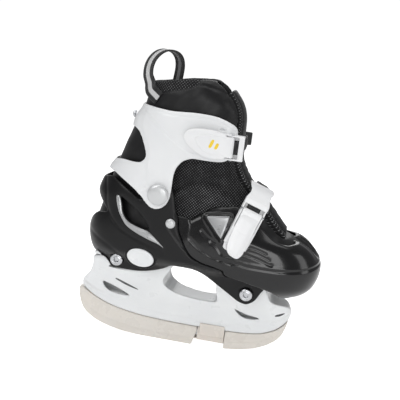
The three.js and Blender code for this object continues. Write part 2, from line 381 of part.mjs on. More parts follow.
// ------------------------------------------------------------------ rivets, bolts
const revolve = (profile, seg, x, z, sgn = 1) => {
  const build = (p) => { const g = new THREE.LatheGeometry(p.map(([r, y]) => new THREE.Vector2(r, y)), seg); g.translate(x, 0, z); return solid(g); };
  const p = profile.map(([r, y]) => [r, y * sgn]);
  const s = build(p);
  return s.volume() > 0 ? s : build([...p].reverse());
};
for (const [sgn, tag] of [[-1, "outer"], [1, "inner"]]) {
  add(`pivot_rivet_${tag}`, revolve([[0, 38.4], [6.2, 38.4], [6.2, 39.7], [3.5, 39.7], [3.5, 48.1], [10.8, 48.1], [10.5, 49.1], [8.2, 50.4], [4.5, 51], [0, 51.2]], 20, ...PIVOT, sgn), M.silver);
  const bush = cut(rod(4.8, sgn < 0 ? -47.7 : 40.1, sgn < 0 ? -40.1 : 47.7, ...PIVOT, 18), rod(3.9, -60, 60, ...PIVOT, 18));
  add(`pivot_bush_${tag}`, bush, M.spring);
  add(`guide_rivet_${tag}`, revolve([[0, 35.5], [5.2, 35.5], [5.2, 36.4], [2.35, 36.4], [2.35, 46.0], [5.2, 46.0], [4.7, 47.1], [2.6, 48], [0, 48.2]], 16, ...GUIDE, sgn), M.silver);
}
rear = cut(rear, rod(5.2, -60, 60, ...PIVOT, 18));
add("rear_shell", rear, M.black);
const hex = (r, x, z) => Array.from({ length: 6 }, (_, i) => [x + r * Math.cos((i * Math.PI) / 3), z + r * Math.sin((i * Math.PI) / 3)]);
for (const [tag, p, y] of [["rear", BOLT_REAR, 29.6], ["front", BOLT_FRONT, 30.5]]) {
  let b = revolve([[0, -y - 3.1], [5.4, -y - 3.1], [6.7, -y - 2.2], [6.9, -y], [4.2, -y], [4.2, y + 0.6], [0, y + 0.6]], 18, ...p);
  b = cut(b, prismY(hex(2.9, ...p), -60, -y - 0.4));
  add(`${tag}_bolt`, b, M.steel);
  add(`${tag}_bolt_nut`, revolve([[0, y + 1.4], [4.6, y + 1.2], [4.6, y], [6.9, y], [6.7, y + 2.2], [5.4, y + 3.1], [0, y + 3.1]], 18, ...p), M.steel);
}

// ------------------------------------------------------------------ liner, tongue, insole
const ray = (deg, lift) => (x) => PIVOT[1] + lift + Math.abs(x - PIVOT[0]) * Math.tan((deg * Math.PI) / 180);
const REAR_FOOT = ray(3.5, -0.5), REAR_COLLAR = ray(7.5, 0.5), FRONT_FOOT = ray(9, -0.5), FRONT_COLLAR = ray(20.5, 0.5);
const footZone = prismY([[-130, 99.2], [30, 99.2], [50, 98.2], [70, 97.6], [80, 97], [119, 92.6], [126, 89.6], [133.5, 84.6], [160, 84.6], [160, FRONT_FOOT(160)], [PIVOT[0], PIVOT[1] - 0.5], [-130, REAR_FOOT(-130)]], -60, 60);
const collarZone = prismY([[-130, REAR_COLLAR(-130)], [PIVOT[0], PIVOT[1] + 0.5], [120, FRONT_COLLAR(120)], [120, 287.5], [10, 290], [-12, 288], [-40, 283], [-60, 281], [-130, 281]], -60, 60);
const ZL = [82, 92, 98, 104, 118, 131, 144, 158, 172, 186, 200, 214, 240, 256, 270, 281, 292];
const ZF = ZL.slice(0, 11), ZK = ZL.slice(8);
const tongueSlot = (w, x0) => prismZ([[x0, -w], [200, -w], [200, w], [x0, w]], 60, 300);
let foot = cut(form(LINER, ZF, 0, 5, 3, 5), form(LINER, [ZF[0] - 4, ...ZF.slice(1, -1), 206], -6, 5, 3, 5).intersect(prismY([[-130, 105.4], [30, 105.4], [50, 104.2], [99, 99.2], [160, 94], [160, 240], [-130, 240]], -60, 60)));
foot = foot.intersect(footZone);
const throat = prismY([[20, 148], [60, 148], [104, 138.5], [104, 240], [20, 240]], -19.4, 19.4);
foot = cut(foot, throat);
let collar = cut(form(LINER, [150, 160, ...ZK], 0, 5, 3, 5), form(LINER, [146, 160, ...ZK.slice(0, -1), 298], -8, 5, 3, 5)).intersect(collarZone);
collar = cut(collar, box(20, 120, -19.4, 19.4, 150, 300));
const tongueOuter = form(LINER, ZL, 1.6, 5, 3, 5), tongueInner = form(LINER, [78, ...ZL.slice(1, -1), 298], -5.5, 5, 3, 5);
const tongue = cut(tongueOuter, tongueInner).intersect(box(20, 160, -19, 19, 80, 300));
const tongueLow = tongue.intersect(prismY([[60, 148.4], [103.6, 139], [103.6, FRONT_FOOT(103.6)], [20, FRONT_FOOT(20)], [20, 148.4]], -60, 60));
const tongueTop = tongue.intersect(prismY([[20, FRONT_COLLAR(20)], [120, FRONT_COLLAR(120)], [120, 289], [20, 289]], -60, 60));
add("liner_foot", foot, M.fabric);
add("tongue_lower", tongueLow, M.fabric);
add("tongue_upper", tongueTop, M.leather);
const insole = form(LINER, [88, 97, 105, 112], -7.4, 5, 3, 5).intersect(prismY([[-130, 105.8], [30, 105.8], [50, 104.6], [99, 99.6], [160, 94.6], [160, 97.6], [99, 102.6], [50, 107.8], [-130, 109.2]], -60, 60));
add("insole", insole, M.foam);

// webbing pull loop at the back of the collar
const LOOP = [[-56.6, 261.5], [-54.8, 268], [-53.2, 274], [-51.8, 280], [-52.4, 288], [-52.6, 296], [-50.8, 304], [-45.5, 310.5], [-38, 313.6], [-30.5, 312.3], [-24.8, 307], [-22.8, 299.5], [-24.5, 291.5], [-30.5, 283], [-36.8, 276.5], [-40.3, 270.5], [-41.6, 264]];
add("pull_loop", band(LOOP.map(([x, z]) => [x, 0, z]), LOOP.map(() => [0, 1, 0]), 16, 1.6), M.web);

// ------------------------------------------------------------------ ratchet buckles
function frame(o, u, n) { // local x = u (towards the strap's entry), local -y = outwards
  const U = new THREE.Vector3(...u).normalize(), N = new THREE.Vector3(...n);
  N.addScaledVector(U, -N.dot(U)).normalize();
  const Y = N.clone().negate(), Z = new THREE.Vector3().crossVectors(U, Y);
  return { m: [U.x, U.y, U.z, 0, Y.x, Y.y, Y.z, 0, Z.x, Z.y, Z.z, 0, ...o, 1], at: (x, y, z = 0) => [0, 1, 2].map((k) => o[k] + U.getComponent(k) * x + Y.getComponent(k) * y + Z.getComponent(k) * z), U, Y, Z };
}
const along = (r, x, y, z0, z1, seg = 12) => { const g = new THREE.CylinderGeometry(r, r, z1 - z0, seg); g.rotateX(Math.PI / 2); g.translate(x, y, (z0 + z1) / 2); return solid(g); };
const RX = [-21, -8]; // rivet stations along a buckle base
function buckle(F, wallIn) {
  const cheeks = prismZ([[3, 0], [29, 0], [29, -7.8], [23, -7.8], [21.5, -8.2], [15, -8.2], [14.5, -5.9], [3, -5.9]], -12.4, 12.4);
  let base = join(box(-27, 29, -1.5, 0, -11.4, 11.4), cut(cheeks, box(0, 40, -20, -1.4, -10.7, 10.7)), box(23.4, 29, -7.8, -5.7, -11.5, 11.5));
  base = cut(base, along(2.0, 18, -6.1, -20, 20), along(1.35, 8, -5.0, -20, 20));
  for (const x of RX) base = cut(base, rod(2.4, -5, 5, x, 0, 12), rod(3.7, -5, -0.8, x, 0, 12));
  const edge = [[-30, 5.5], [-27.5, 10.5], [-22, 13.6], [-12, 14.8], [2, 14.4], [13.4, 12.3], [13.4, -12.3], [5, -13.6], [-8, -12.4], [-19, -7.5], [-27, -0.5]];
  const plate = (pts, y0, y1) => { const g = new THREE.ExtrudeGeometry(new THREE.Shape(pts.map(([x, z]) => new THREE.Vector2(x, z))), { depth: y1 - y0, bevelEnabled: false }); g.rotateX(Math.PI / 2); g.translate(0, y1, 0); return solid(g); };
  let lever = join(plate(edge, -8.3, -6.4), box(13, 18, -8.3, -6.4, -10.2, 10.2), along(2.2, 18, -6.1, -10.2, 10.2, 14));
  lever = join(lever, plate([[-26, 4.5], [-22, 10], [-10, 12], [10, 10], [10, -9.8], [3, -10.6], [-8, -9.2], [-18, -4.6]], -9.1, -8.2));
  lever = cut(lever, along(1.85, 18, -6.1, -20, 20));
  const pin = along(1.5, 18, -6.1, -12.9, 12.9, 12);
  let pawl = join(box(-1, 8, -5.4, -4.0, -8.2, 8.2), along(1.1, 8, -5.0, -10.2, 10.2, 10), prismZ([[-1, -4.2], [2, -4.2], [-0.6, -3.75]], -5, 5));
  pawl = cut(join(pawl, along(2.0, 8, -5.0, 8.4, 10.2, 10).intersect(box(0, 12, -6.1, -3.9, 8, 11))), along(0.75, 8, -5.0, -20, 20, 10));
  const pawlPin = along(0.55, 8, -5.0, -10.1, 10.1, 8);
  const put = (s) => s.transform(F.m);
  const rivets = RX.map((x, i) => put(revolve([[0, wallIn[i] + 0.9], [3.3, wallIn[i] + 0.9], [3.3, wallIn[i]], [2.0, wallIn[i]], [2.0, -0.95], [3.3, -0.95], [3.3, -1.45], [0, -1.45]], 12, x, 0)));
  const holes = RX.map((x, i) => put(join(rod(2.35, -3, 12, x, 0, 12), rod(3.7, wallIn[i] - 0.2, 14, x, 0, 12))));
  return { base: put(base), lever: put(lever), pin: put(pin), pawl: put(pawl), pawlPin: put(pawlPin), rivets, holes };
}
const ANKLE = frame([27, -45.3, 229], [1, 0, 0], [0, -1, 0]);
const INSTEP = frame([66.5, -43.6, 149], [22, 15, 64], [0.16, -1, 0]);
const ankle = buckle(ANKLE, [2.9, 2.9]), instep = buckle(INSTEP, [5.6, 5.7]);
cuff = cut(cuff, ...ankle.holes);
const pad = box(-26, 0, 0.4, 9, -9, 9).transform(INSTEP.m); // flat landing for the instep buckle
toe = join(toe, cut(pad, form(TOE, [90, 108, 117, 123, 128, 132, 137, 144, 154, 164, 176], -SHELL_T + 0.3, 3, 6, 8)));
toe = cut(toe, ...instep.holes);
for (const [tag, b] of [["ankle", ankle], ["instep", instep]]) {
  add(`${tag}_buckle_base`, b.base, M.white);
  add(`${tag}_buckle_lever`, b.lever, M.white);
  add(`${tag}_lever_pin`, b.pin, M.steel);
  add(`${tag}_release_pawl`, b.pawl, M.white);
  add(`${tag}_pawl_pin`, b.pawlPin, M.steel);
  add(`${tag}_base_rivet_rear`, b.rivets[0], M.steel);
  add(`${tag}_base_rivet_front`, b.rivets[1], M.steel);
}
// ladder straps
const mirrorY = (p) => [p[0], -p[1], p[2]];
const ankleHalf = [ANKLE.at(-24, -2.7), ANKLE.at(0, -2.7), ANKLE.at(24, -2.7), ANKLE.at(30, -2.4), [60.2, -41.5, 229], [62.2, -34, 229], [61.5, -24, 229], [60, -12, 229]];
const ankleEnd = [[62.0, 34, 229], [59.4, 40.5, 229], [53, 44.6, 229], [46, 46.0, 229], [36, 46.6, 229], [28, 46.6, 229]];
const anklePath = [...ankleHalf, [59.5, 0, 229], [60, 12, 229], [61.5, 24, 229], ...ankleEnd];
let ankleStrap = band(anklePath, anklePath.map(() => [0, 0, 1]), 14, 1.6);
const iw = INSTEP.Z.toArray();
const instepHalf = [INSTEP.at(-24, -2.7), INSTEP.at(0, -2.7), INSTEP.at(24, -2.7), INSTEP.at(31, -2.5), INSTEP.at(36, -0.9)];
const crown = [[80.4, -17, 188.6], [81, -8, 190], [81.2, 0, 190.4], [81, 8, 190], [80.4, 17, 188.6]];
const back = [[33, -1.9], [25, -0.9], [12, 0], [0, 0.6], [-8, 0.7], [-18, 0.7]].map(([x, y]) => mirrorY(INSTEP.at(x, y)));
const instepPath = [...instepHalf, ...crown, ...back];
const slope = [0.8, 0, -0.6];
const lerp3 = (a, b, t) => a.map((v, k) => v + (b[k] - v) * t);
const wdir = instepPath.map((p) => { const t = Math.min(1, Math.max(0, (Math.abs(p[1]) - 8) / 24)); const side = p[1] < 0 ? iw.map((v) => -v) : mirrorY(iw.map((v) => -v)); return lerp3(slope, side, t); });
let instepStrap = band(instepPath, wdir, 14, 1.6);
const anchorA = frame([32.5, 44.6, 229], [1, 0, 0], [0, 1, 0]);
const aEnd = instepPath[instepPath.length - 1], aPrev = instepPath[instepPath.length - 2];
const anchorI = frame(lerp3(aEnd, aPrev, 0.35), aPrev.map((v, k) => v - aEnd[k]), mirrorY([0.16, -1, 0]));
const anchorRivet = (F, depth, face) => revolve([[0, -face - 1.7], [2.5, -face - 1.5], [4.4, -face - 0.5], [4.6, -face], [2.0, -face], [2.0, depth], [3.3, depth], [3.3, depth + 0.9], [0, depth + 0.9]], 14, 0, 0).transform(F.m);
const anchorHole = (F, depth) => join(rod(2.35, -12, 14, 0, 0, 12), rod(3.7, depth - 0.2, 14, 0, 0, 12)).transform(F.m);
ankleStrap = cut(ankleStrap, anchorHole(anchorA, 9));
cuff = cut(cuff, anchorHole(anchorA, 2.1));
instepStrap = cut(instepStrap, anchorHole(anchorI, 9));
toe = cut(toe, anchorHole(anchorI, 5.0));
add("ankle_ladder_strap", ankleStrap, M.black);
add("instep_ladder_strap", instepStrap, M.black);
add("ankle_strap_anchor", anchorRivet(anchorA, 2.1, 3.2), M.steel);
add("instep_strap_anchor", anchorRivet(anchorI, 5.0, 1.2), M.steel);
add("toe_shell", toe, M.gloss);
add("cuff", cuff, M.white);
add("liner_collar", main(collar), M.leather);
const screw = new THREE.LatheGeometry([[0, -67.4], [2.6, -67.4], [3.7, -66.5], [3.7, -65.2], [1.8, -65.2], [1.8, -61.2], [0, -61.2]].map(([r, x]) => new THREE.Vector2(r, x)), 14);
screw.rotateZ(-Math.PI / 2); screw.translate(0, 0, 244);
{ let s = solid(screw); if (s.volume() < 0) { const i = screw.index.array; for (let k = 0; k < i.length; k += 3) { const a = i[k]; i[k] = i[k + 1]; i[k + 1] = a; } s = solid(screw); } add("cuff_rear_screw", s, M.steel); }
export default skate;
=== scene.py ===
# Adjustable children's ice skate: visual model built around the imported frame. Lengths in the tables are millimetres.
import json
import math
import bpy
import numpy as np
import openvdb as vdb
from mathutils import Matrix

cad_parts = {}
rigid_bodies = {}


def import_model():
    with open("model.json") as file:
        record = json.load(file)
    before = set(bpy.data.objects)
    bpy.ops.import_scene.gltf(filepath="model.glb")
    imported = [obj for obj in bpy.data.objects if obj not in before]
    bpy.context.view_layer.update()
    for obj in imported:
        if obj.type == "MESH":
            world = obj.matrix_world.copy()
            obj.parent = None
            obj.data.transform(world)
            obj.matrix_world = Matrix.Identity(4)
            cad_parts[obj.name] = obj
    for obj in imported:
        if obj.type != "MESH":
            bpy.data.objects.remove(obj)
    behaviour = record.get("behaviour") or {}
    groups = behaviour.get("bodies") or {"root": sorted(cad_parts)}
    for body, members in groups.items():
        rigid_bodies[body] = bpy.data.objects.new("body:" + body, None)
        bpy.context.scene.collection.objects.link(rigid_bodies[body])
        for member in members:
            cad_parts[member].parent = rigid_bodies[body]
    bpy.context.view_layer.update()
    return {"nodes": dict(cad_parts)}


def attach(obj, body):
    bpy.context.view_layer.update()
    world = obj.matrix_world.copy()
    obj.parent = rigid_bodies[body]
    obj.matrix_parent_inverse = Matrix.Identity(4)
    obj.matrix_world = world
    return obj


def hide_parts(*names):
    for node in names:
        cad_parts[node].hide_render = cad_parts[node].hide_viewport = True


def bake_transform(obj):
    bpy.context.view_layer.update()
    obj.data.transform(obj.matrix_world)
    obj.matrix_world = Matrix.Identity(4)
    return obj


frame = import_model()
scene = bpy.context.scene


# ------------------------------------------------------------------ camera, light, floor
def camera():
    c = bpy.data.cameras.new("camera")
    o = bpy.data.objects.new("camera", c)
    scene.collection.objects.link(o)
    from mathutils import Matrix
    r, u, b = (0.98061185, 0.15570496, 0.11898055), (-0.14886719, 0.1970813, 0.96901884), (0.1274322, -0.96794366, 0.21643961)
    p = (0.105751, -0.696919, 0.317437)
    o.matrix_world = Matrix(((r[0], u[0], b[0], p[0]), (r[1], u[1], b[1], p[1]), (r[2], u[2], b[2], p[2]), (0, 0, 0, 1)))
    c.sensor_width = 36
    c.lens = 60.56
    c.clip_start = 0.05
    c.clip_end = 60
    scene.camera = o


def area(name, pos, target, size, power, color=(1, 1, 1)):
    from mathutils import Vector
    l = bpy.data.lights.new(name, "AREA")
    l.shape = "RECTANGLE"
    l.size, l.size_y = size
    l.energy = power
    l.color = color
    o = bpy.data.objects.new(name, l)
    scene.collection.objects.link(o)
    o.location = pos
    o.rotation_euler = (Vector(target) - Vector(pos)).to_track_quat("-Z", "Y").to_euler()
    o.visible_camera = False
    return o


def stage():
    w = bpy.data.worlds.new("studio")
    scene.world = w
    w.use_nodes = True
    nt = w.node_tree
    nt.nodes.clear()
    out = nt.nodes.new("ShaderNodeOutputWorld")
    mix = nt.nodes.new("ShaderNodeMixShader")
    path = nt.nodes.new("ShaderNodeLightPath")
    soft = nt.nodes.new("ShaderNodeBackground")
    soft.inputs["Color"].default_value = (0.99, 0.99, 1.0, 1)
    soft.inputs["Strength"].default_value = 0.27
    white = nt.nodes.new("ShaderNodeBackground")
    white.inputs["Color"].default_value = (1, 1, 1, 1)
    white.inputs["Strength"].default_value = 1.05
    nt.links.new(path.outputs["Is Camera Ray"], mix.inputs[0])
    nt.links.new(soft.outputs[0], mix.inputs[1])
    nt.links.new(white.outputs[0], mix.inputs[2])
    nt.links.new(mix.outputs[0], out.inputs["Surface"])
    me = bpy.data.meshes.new("floor")
    s, n = 1.8, 12
    v = [(-s + 2 * s * i / n, -s + 2 * s * j / n, 0.0) for j in range(n + 1) for i in range(n + 1)]
    f = [(j * (n + 1) + i, j * (n + 1) + i + 1, (j + 1) * (n + 1) + i + 1, (j + 1) * (n + 1) + i) for j in range(n) for i in range(n)]
    me.from_pydata(v, [], f)
    o = bpy.data.objects.new("floor", me)
    scene.collection.objects.link(o)
    m = bpy.data.materials.new("floor_paper")
    m.use_nodes = True
    b = m.node_tree.nodes["Principled BSDF"]
    b.inputs["Base Color"].default_value = (0.93, 0.93, 0.93, 1)
    b.inputs["Roughness"].default_value = 0.9
    b.inputs["Specular IOR Level"].default_value = 0.0
    b.inputs["Emission Color"].default_value = (1, 1, 1, 1)
    lp = m.node_tree.nodes.new("ShaderNodeLightPath")
    glow = m.node_tree.nodes.new("ShaderNodeMapRange")
    glow.inputs["To Min"].default_value = 0.22
    glow.inputs["To Max"].default_value = 0.72
    m.node_tree.links.new(lp.outputs["Is Camera Ray"], glow.inputs["Value"])
    m.node_tree.links.new(glow.outputs[0], b.inputs["Emission Strength"])
    me.materials.append(m)
    area("top_box", (0.05, -0.1, 1.5), (0, 0, 0.1), (1.5, 1.1), 9)
    area("key_box", (-0.75, -1.25, 1.05), (0, 0, 0.14), (0.8, 0.9), 7.2)
    area("side_box", (1.5, -0.5, 0.6), (0, 0, 0.14), (0.5, 1.0), 3.2)
    area("back_box", (-0.3, 1.5, 0.9), (0, 0, 0.15), (1.4, 0.8), 6)
    area("front_box", (0.35, -1.7, 0.34), (0.02, 0, 0.12), (0.9, 0.5), 5.5)
    scene.view_settings.view_transform = "Standard"
    scene.view_settings.look = "None"


camera()
stage()


# ------------------------------------------------------------------ field modelling
class Grid:
    def __init__(g, lo, hi, h):
        g.h = h
        g.lo = np.array(lo, np.float32)
        g.ax = [np.float32(lo[i]) + np.float32(h) * np.arange(int(math.ceil((hi[i] - lo[i]) / h)) + 1, dtype=np.float32) for i in range(3)]
        g.X, g.Y, g.Z = g.ax[0][:, None, None], g.ax[1][None, :, None], g.ax[2][None, None, :]


def tab(rows, v, sigma=2.5):
    r = np.array(rows, float)
    v = np.asarray(v, float)
    if sigma <= 0:
        return np.interp(v, r[:, 0], r[:, 1])
    o = np.linspace(-2.4, 2.4, 13)
    w = np.exp(-o * o / 2)
    w /= w.sum()
    return sum(wi * np.interp(v + oi * sigma, r[:, 0], r[:, 1]) for wi, oi in zip(w, o))


def chaikin(p, n=2, closed=True):
    p = np.array(p, float)
    for _ in range(n):
        q = np.roll(p, -1, 0) if closed else p[1:]
        a = p if closed else p[:-1]
        r = np.empty((2 * len(a), 2))
        r[0::2] = a * 0.8 + q * 0.2
        r[1::2] = a * 0.2 + q * 0.8
        p = r if closed else np.vstack([p[:1], r, p[-1:]])
    return p


def seg2(X, Z, p, closed):
    d2 = np.full(np.broadcast(X, Z).shape, 1e9)
    ins = np.zeros(d2.shape, bool)
    m = len(p) if closed else len(p) - 1
    for i in range(m):
        a, b = p[i], p[(i + 1) % len(p)]
        e = b - a
        l = max(e @ e, 1e-9)
        t = np.clip(((X - a[0]) * e[0] + (Z - a[1]) * e[1]) / l, 0, 1)
        d2 = np.minimum(d2, (X - a[0] - t * e[0]) ** 2 + (Z - a[1] - t * e[1]) ** 2)
        if closed and a[1] != b[1]:
            c = ((a[1] <= Z) & (b[1] > Z)) | ((b[1] <= Z) & (a[1] > Z))
            ins ^= c & (X < a[0] + (Z - a[1]) / (b[1] - a[1]) * e[0])
    d = np.sqrt(d2)
    if closed:
        d[ins] *= -1
    return d.astype(np.float32)


def poly2(g, p, n=2):  # signed distance to a side-view outline, on the grid's x and z
    return seg2(g.ax[0][:, None].astype(float), g.ax[2][None, :].astype(float), chaikin(p, n), True)


def line2(g, p, n=2):
    return seg2(g.ax[0][:, None].astype(float), g.ax[2][None, :].astype(float), chaikin(p, n, False), False)


def poly(g, p, n=2):
    return poly2(g, p, n)[:, None, :]


def plan(g, p, n=2):
    return seg2(g.ax[0][:, None].astype(float), g.ax[1][None, :].astype(float), chaikin(p, n), True)[:, :, None]


def smax(a, b, k=1.0):
    h = np.maximum(k - np.abs(a - b), 0) / k
    return np.maximum(a, b) + h * h * (k * 0.25)


def smin(a, b, k=1.0):
    return -smax(-a, -b, k)


def sstep(a, b, v):
    t = np.clip((v - a) / (b - a), 0, 1)
    return t * t * (3 - 2 * t)


def form(g, F, off=0.0, s=2.5):
    z, x = g.ax[2].astype(float), g.ax[0].astype(float)
    xr, xf = tab(F["xr"], z, s) - off, tab(F["xf"], z, s) + off
    Lr, Lf, hw, fx = tab(F["Lr"], z, s), tab(F["Lf"], z, s), tab(F["hw"], z, s), tab(F["fx"], x, 4)
    fit = np.minimum(1, 0.9 * (xf - xr) / (Lr + Lf))
    Lr, Lf = Lr * fit, Lf * fit
    n = F["n"]
    X = x[:, None]
    u = np.maximum(np.maximum((xr + Lr - X) / Lr, (X - (xf - Lf)) / Lf), 0) ** n
    W = hw[None, :] * fx[:, None] + off
    u, W = u.astype(np.float32), W.astype(np.float32)
    rho = np.abs(g.Y) / W[:, None, :]
    np.power(rho, np.float32(n), out=rho)
    rho += u[:, None, :]
    np.power(rho, np.float32(1 / n), out=rho)
    gr = np.zeros_like(rho)
    for i in range(3):
        q = np.gradient(rho, g.h, axis=i)
        q *= q
        gr += q
    np.sqrt(gr, out=gr)
    np.maximum(gr, 0.012, out=gr)
    rho -= 1
    rho /= gr
    return rho


def sample(g, f, P):
    idx = (P - g.lo) / g.h
    i = np.clip(np.floor(idx).astype(int), 0, np.array(f.shape) - 2)
    t = (idx - i).astype(np.float32)
    x, y, z = i.T
    a, b, c = t.T
    r = 0
    for dx, wx in ((0, 1 - a), (1, a)):
        for dy, wy in ((0, 1 - b), (1, b)):
            for dz, wz in ((0, 1 - c), (1, c)):
                r = r + wx * wy * wz * f[x + dx, y + dy, z + dz]
    return r


def sample2(g, f, P, ax=(0, 2)):
    u = (P[:, ax[0]] - g.lo[ax[0]]) / g.h
    v = (P[:, ax[1]] - g.lo[ax[1]]) / g.h
    i = np.clip(np.floor(u).astype(int), 0, f.shape[0] - 2)
    j = np.clip(np.floor(v).astype(int), 0, f.shape[1] - 2)
    a, b = u - i, v - j
    return (1 - a) * (1 - b) * f[i, j] + a * (1 - b) * f[i + 1, j] + (1 - a) * b * f[i, j + 1] + a * b * f[i + 1, j + 1]


def keep_main(V, Q):
    """Only the largest connected piece of a mesh stays."""
    lab = np.arange(len(V))
    for _ in range(400):
        m = lab[Q].min(1)
        new = lab.copy()
        for k in range(Q.shape[1]):
            np.minimum.at(new, Q[:, k], m)
        new = new[new]
        if (new == lab).all():
            break
        lab = new
    ids, cnt = np.unique(lab, return_counts=True)
    best = ids[cnt.argmax()]
    keep = lab == best
    remap = np.cumsum(keep) - 1
    return V[keep], remap[Q[keep[Q[:, 0]]]]


def skin(g, d, name, fields=None, place=None, main=True, relax=0):
    """Closed mesh of the zero surface of d. fields: name -> values sampled at the points, for the materials."""
    d = np.ascontiguousarray(np.broadcast_to(d, tuple(len(a) for a in g.ax)).astype(np.float32))
    lim = np.float32(3 * g.h)
    d = np.clip(d, -lim, lim)
    for s in ((0,), (-1,)):
        d[s[0], :, :] = lim
        d[:, s[0], :] = lim
        d[:, :, s[0]] = lim
    grid = vdb.FloatGrid()
    grid.background = float(lim)
    grid.copyFromArray(d)
    V, T, Q = grid.convertToPolygons(isovalue=0.0, adaptivity=0.0)
    V, Q = np.array(V, float), np.array(Q, int)
    V = V * g.h + g.lo
    if main:
        V, Q = keep_main(V, Q)
    e = 0.6 * g.h

    def gradient(P, e):
        G = np.empty_like(P)
        for k in range(3):
            o = np.zeros(3)
            o[k] = e
            G[:, k] = (sample(g, d, P + o) - sample(g, d, P - o)) / (2 * e)
        return G

    for _ in range(2):
        G = gradient(V, e)
        q = np.maximum((G * G).sum(1), 0.15)
        V = V - np.clip(sample(g, d, V) / q, -0.5 * g.h, 0.5 * g.h)[:, None] * G
    N = gradient(V, 0.9 * g.h)
    N /= np.maximum(np.linalg.norm(N, axis=1), 1e-6)[:, None]
    a, b, c = V[Q[:, 0]], V[Q[:, 1]], V[Q[:, 2]]
    if (np.cross(b - a, c - a) * N[Q[:, 0]]).sum() < 0:
        Q = Q[:, ::-1]
    vals = {k: f(V) for k, f in (fields or {}).items()}
    if place is not None:
        o, R = place  # rows of R are the local axes in the row frame
        V = np.array(o) + V @ np.array(R)
        N = N @ np.array(R)
    return make(name, V, Q, N, vals)


def make(name, V, Q, N=None, vals=None, uv=None):
    me = bpy.data.meshes.new(name)
    k = Q.shape[1]
    me.vertices.add(len(V))
    me.vertices.foreach_set("co", (V * 0.001).astype(np.float32).ravel())
    me.loops.add(Q.size)
    me.loops.foreach_set("vertex_index", Q.astype(np.int32).ravel())
    me.polygons.add(len(Q))
    me.polygons.foreach_set("loop_start", np.arange(0, Q.size, k, dtype=np.int32))
    me.update(calc_edges=True)
    me.polygons.foreach_set("use_smooth", np.ones(len(Q), bool))
    if N is not None:
        me.normals_split_custom_set_from_vertices(N.astype(float).tolist())
    for key, val in (vals or {}).items():
        at = me.attributes.new(key, "FLOAT", "POINT")
        at.data.foreach_set("value", np.asarray(val, np.float32))
    o = bpy.data.objects.new(name, me)
    scene.collection.objects.link(o)
    return o


def grooves(g, lines, w=1.4, depth=0.7, n=2):
    """Depth field of rounded grooves along side-view lines."""
    r = np.zeros((len(g.ax[0]), len(g.ax[2])), np.float32)
    for p in lines:
        r = np.maximum(r, np.exp(-(line2(g, p, n) / w) ** 2))
    return depth * r


def rivet(g, prof, cx, cz):
    """Lathed solid about an axis along y: profile of [radius, y], closed along the axis, as a field."""
    r = np.sqrt((g.X - cx) ** 2 + (g.Z - cz) ** 2)
    p = np.array(prof, float)
    R = np.linspace(0, p[:, 0].max() + 4, 160)
    Yv = g.ax[1].astype(float)
    m = np.vstack([p, [[-p[-1, 0] if p[-1, 0] > 0 else -0.001, p[-1, 1]]]])
    sd = seg2(R[:, None], Yv[None, :], np.vstack([p, [[-6, p[-1, 1]], [-6, p[0, 1]]]]), True)
    ri = r / (R[1] - R[0])
    i = np.clip(np.floor(ri).astype(int), 0, len(R) - 2)
    t = np.clip(ri - i, 0, 1)
    ii = np.broadcast_to(i, np.broadcast(i, g.Y).shape)
    jj = np.broadcast_to(np.arange(len(Yv))[None, :, None], ii.shape)
    return (1 - t) * sd[ii, jj] + t * sd[ii + 1, jj]


# ------------------------------------------------------------------ boot form tables
LINER = {
    "xr": [[80, -80], [95, -88], [105, -95], [115, -97.3], [125, -96.5], [134, -94], [149, -90], [165, -86], [180, -82], [193, -77], [210, -72], [228, -65.6], [240, -60.4], [256, -54.4], [269, -52.2], [280, -50], [290, -46]],
    "xf": [[80, 128], [88, 134], [95, 139], [105, 142], [115, 141], [125, 136], [131, 128], [137, 118], [144, 109], [153, 101], [164, 92], [173, 83], [186, 69], [195, 62], [204, 56.5], [212, 53], [225, 51], [240, 51], [253, 51], [262, 49], [270, 45], [280, 37], [290, 26]],
    "hw": [[80, 31], [92, 31.4], [98, 34.8], [104, 40.2], [110, 41], [125, 40.2], [140, 37.4], [155, 35.7], [171, 36.2], [185, 38.2], [200, 38.4], [215, 38.8], [240, 39], [256, 38], [270, 37.2], [282, 36], [290, 34]],
    "fx": [[-97, 0.86], [-60, 0.88], [-30, 0.915], [0, 0.935], [20, 0.95], [40, 0.97], [80, 1], [120, 1], [150, 0.98]],
    "Lr": [[95, 50], [150, 46], [200, 46], [290, 44]], "Lf": [[95, 58], [130, 60], [150, 80], [200, 62], [290, 46]], "n": 2.25}
REAR = {
    "xr": [[66, -86], [78, -92], [90, -96], [98, -98.5], [106, -100.5], [112, -101.8], [122, -102.5], [130, -101], [140, -98.5], [150, -97], [162, -96], [172, -92.5], [182, -90]],
    "xf": [[66, 120], [182, 120]],
    "hw": [[66, 30.4], [84, 31.4], [92, 33.5], [98, 41.2], [104, 46], [112, 46.8], [130, 46.6], [150, 45.6], [171, 44.9], [182, 44.5]],
    "fx": [[-97, 0.88], [-60, 0.9], [-23, 0.96], [0, 0.985], [20, 1], [90, 1]],
    "Lr": [[66, 36], [98, 46], [182, 48]], "Lf": [[66, 20], [182, 20]], "n": 2.25}
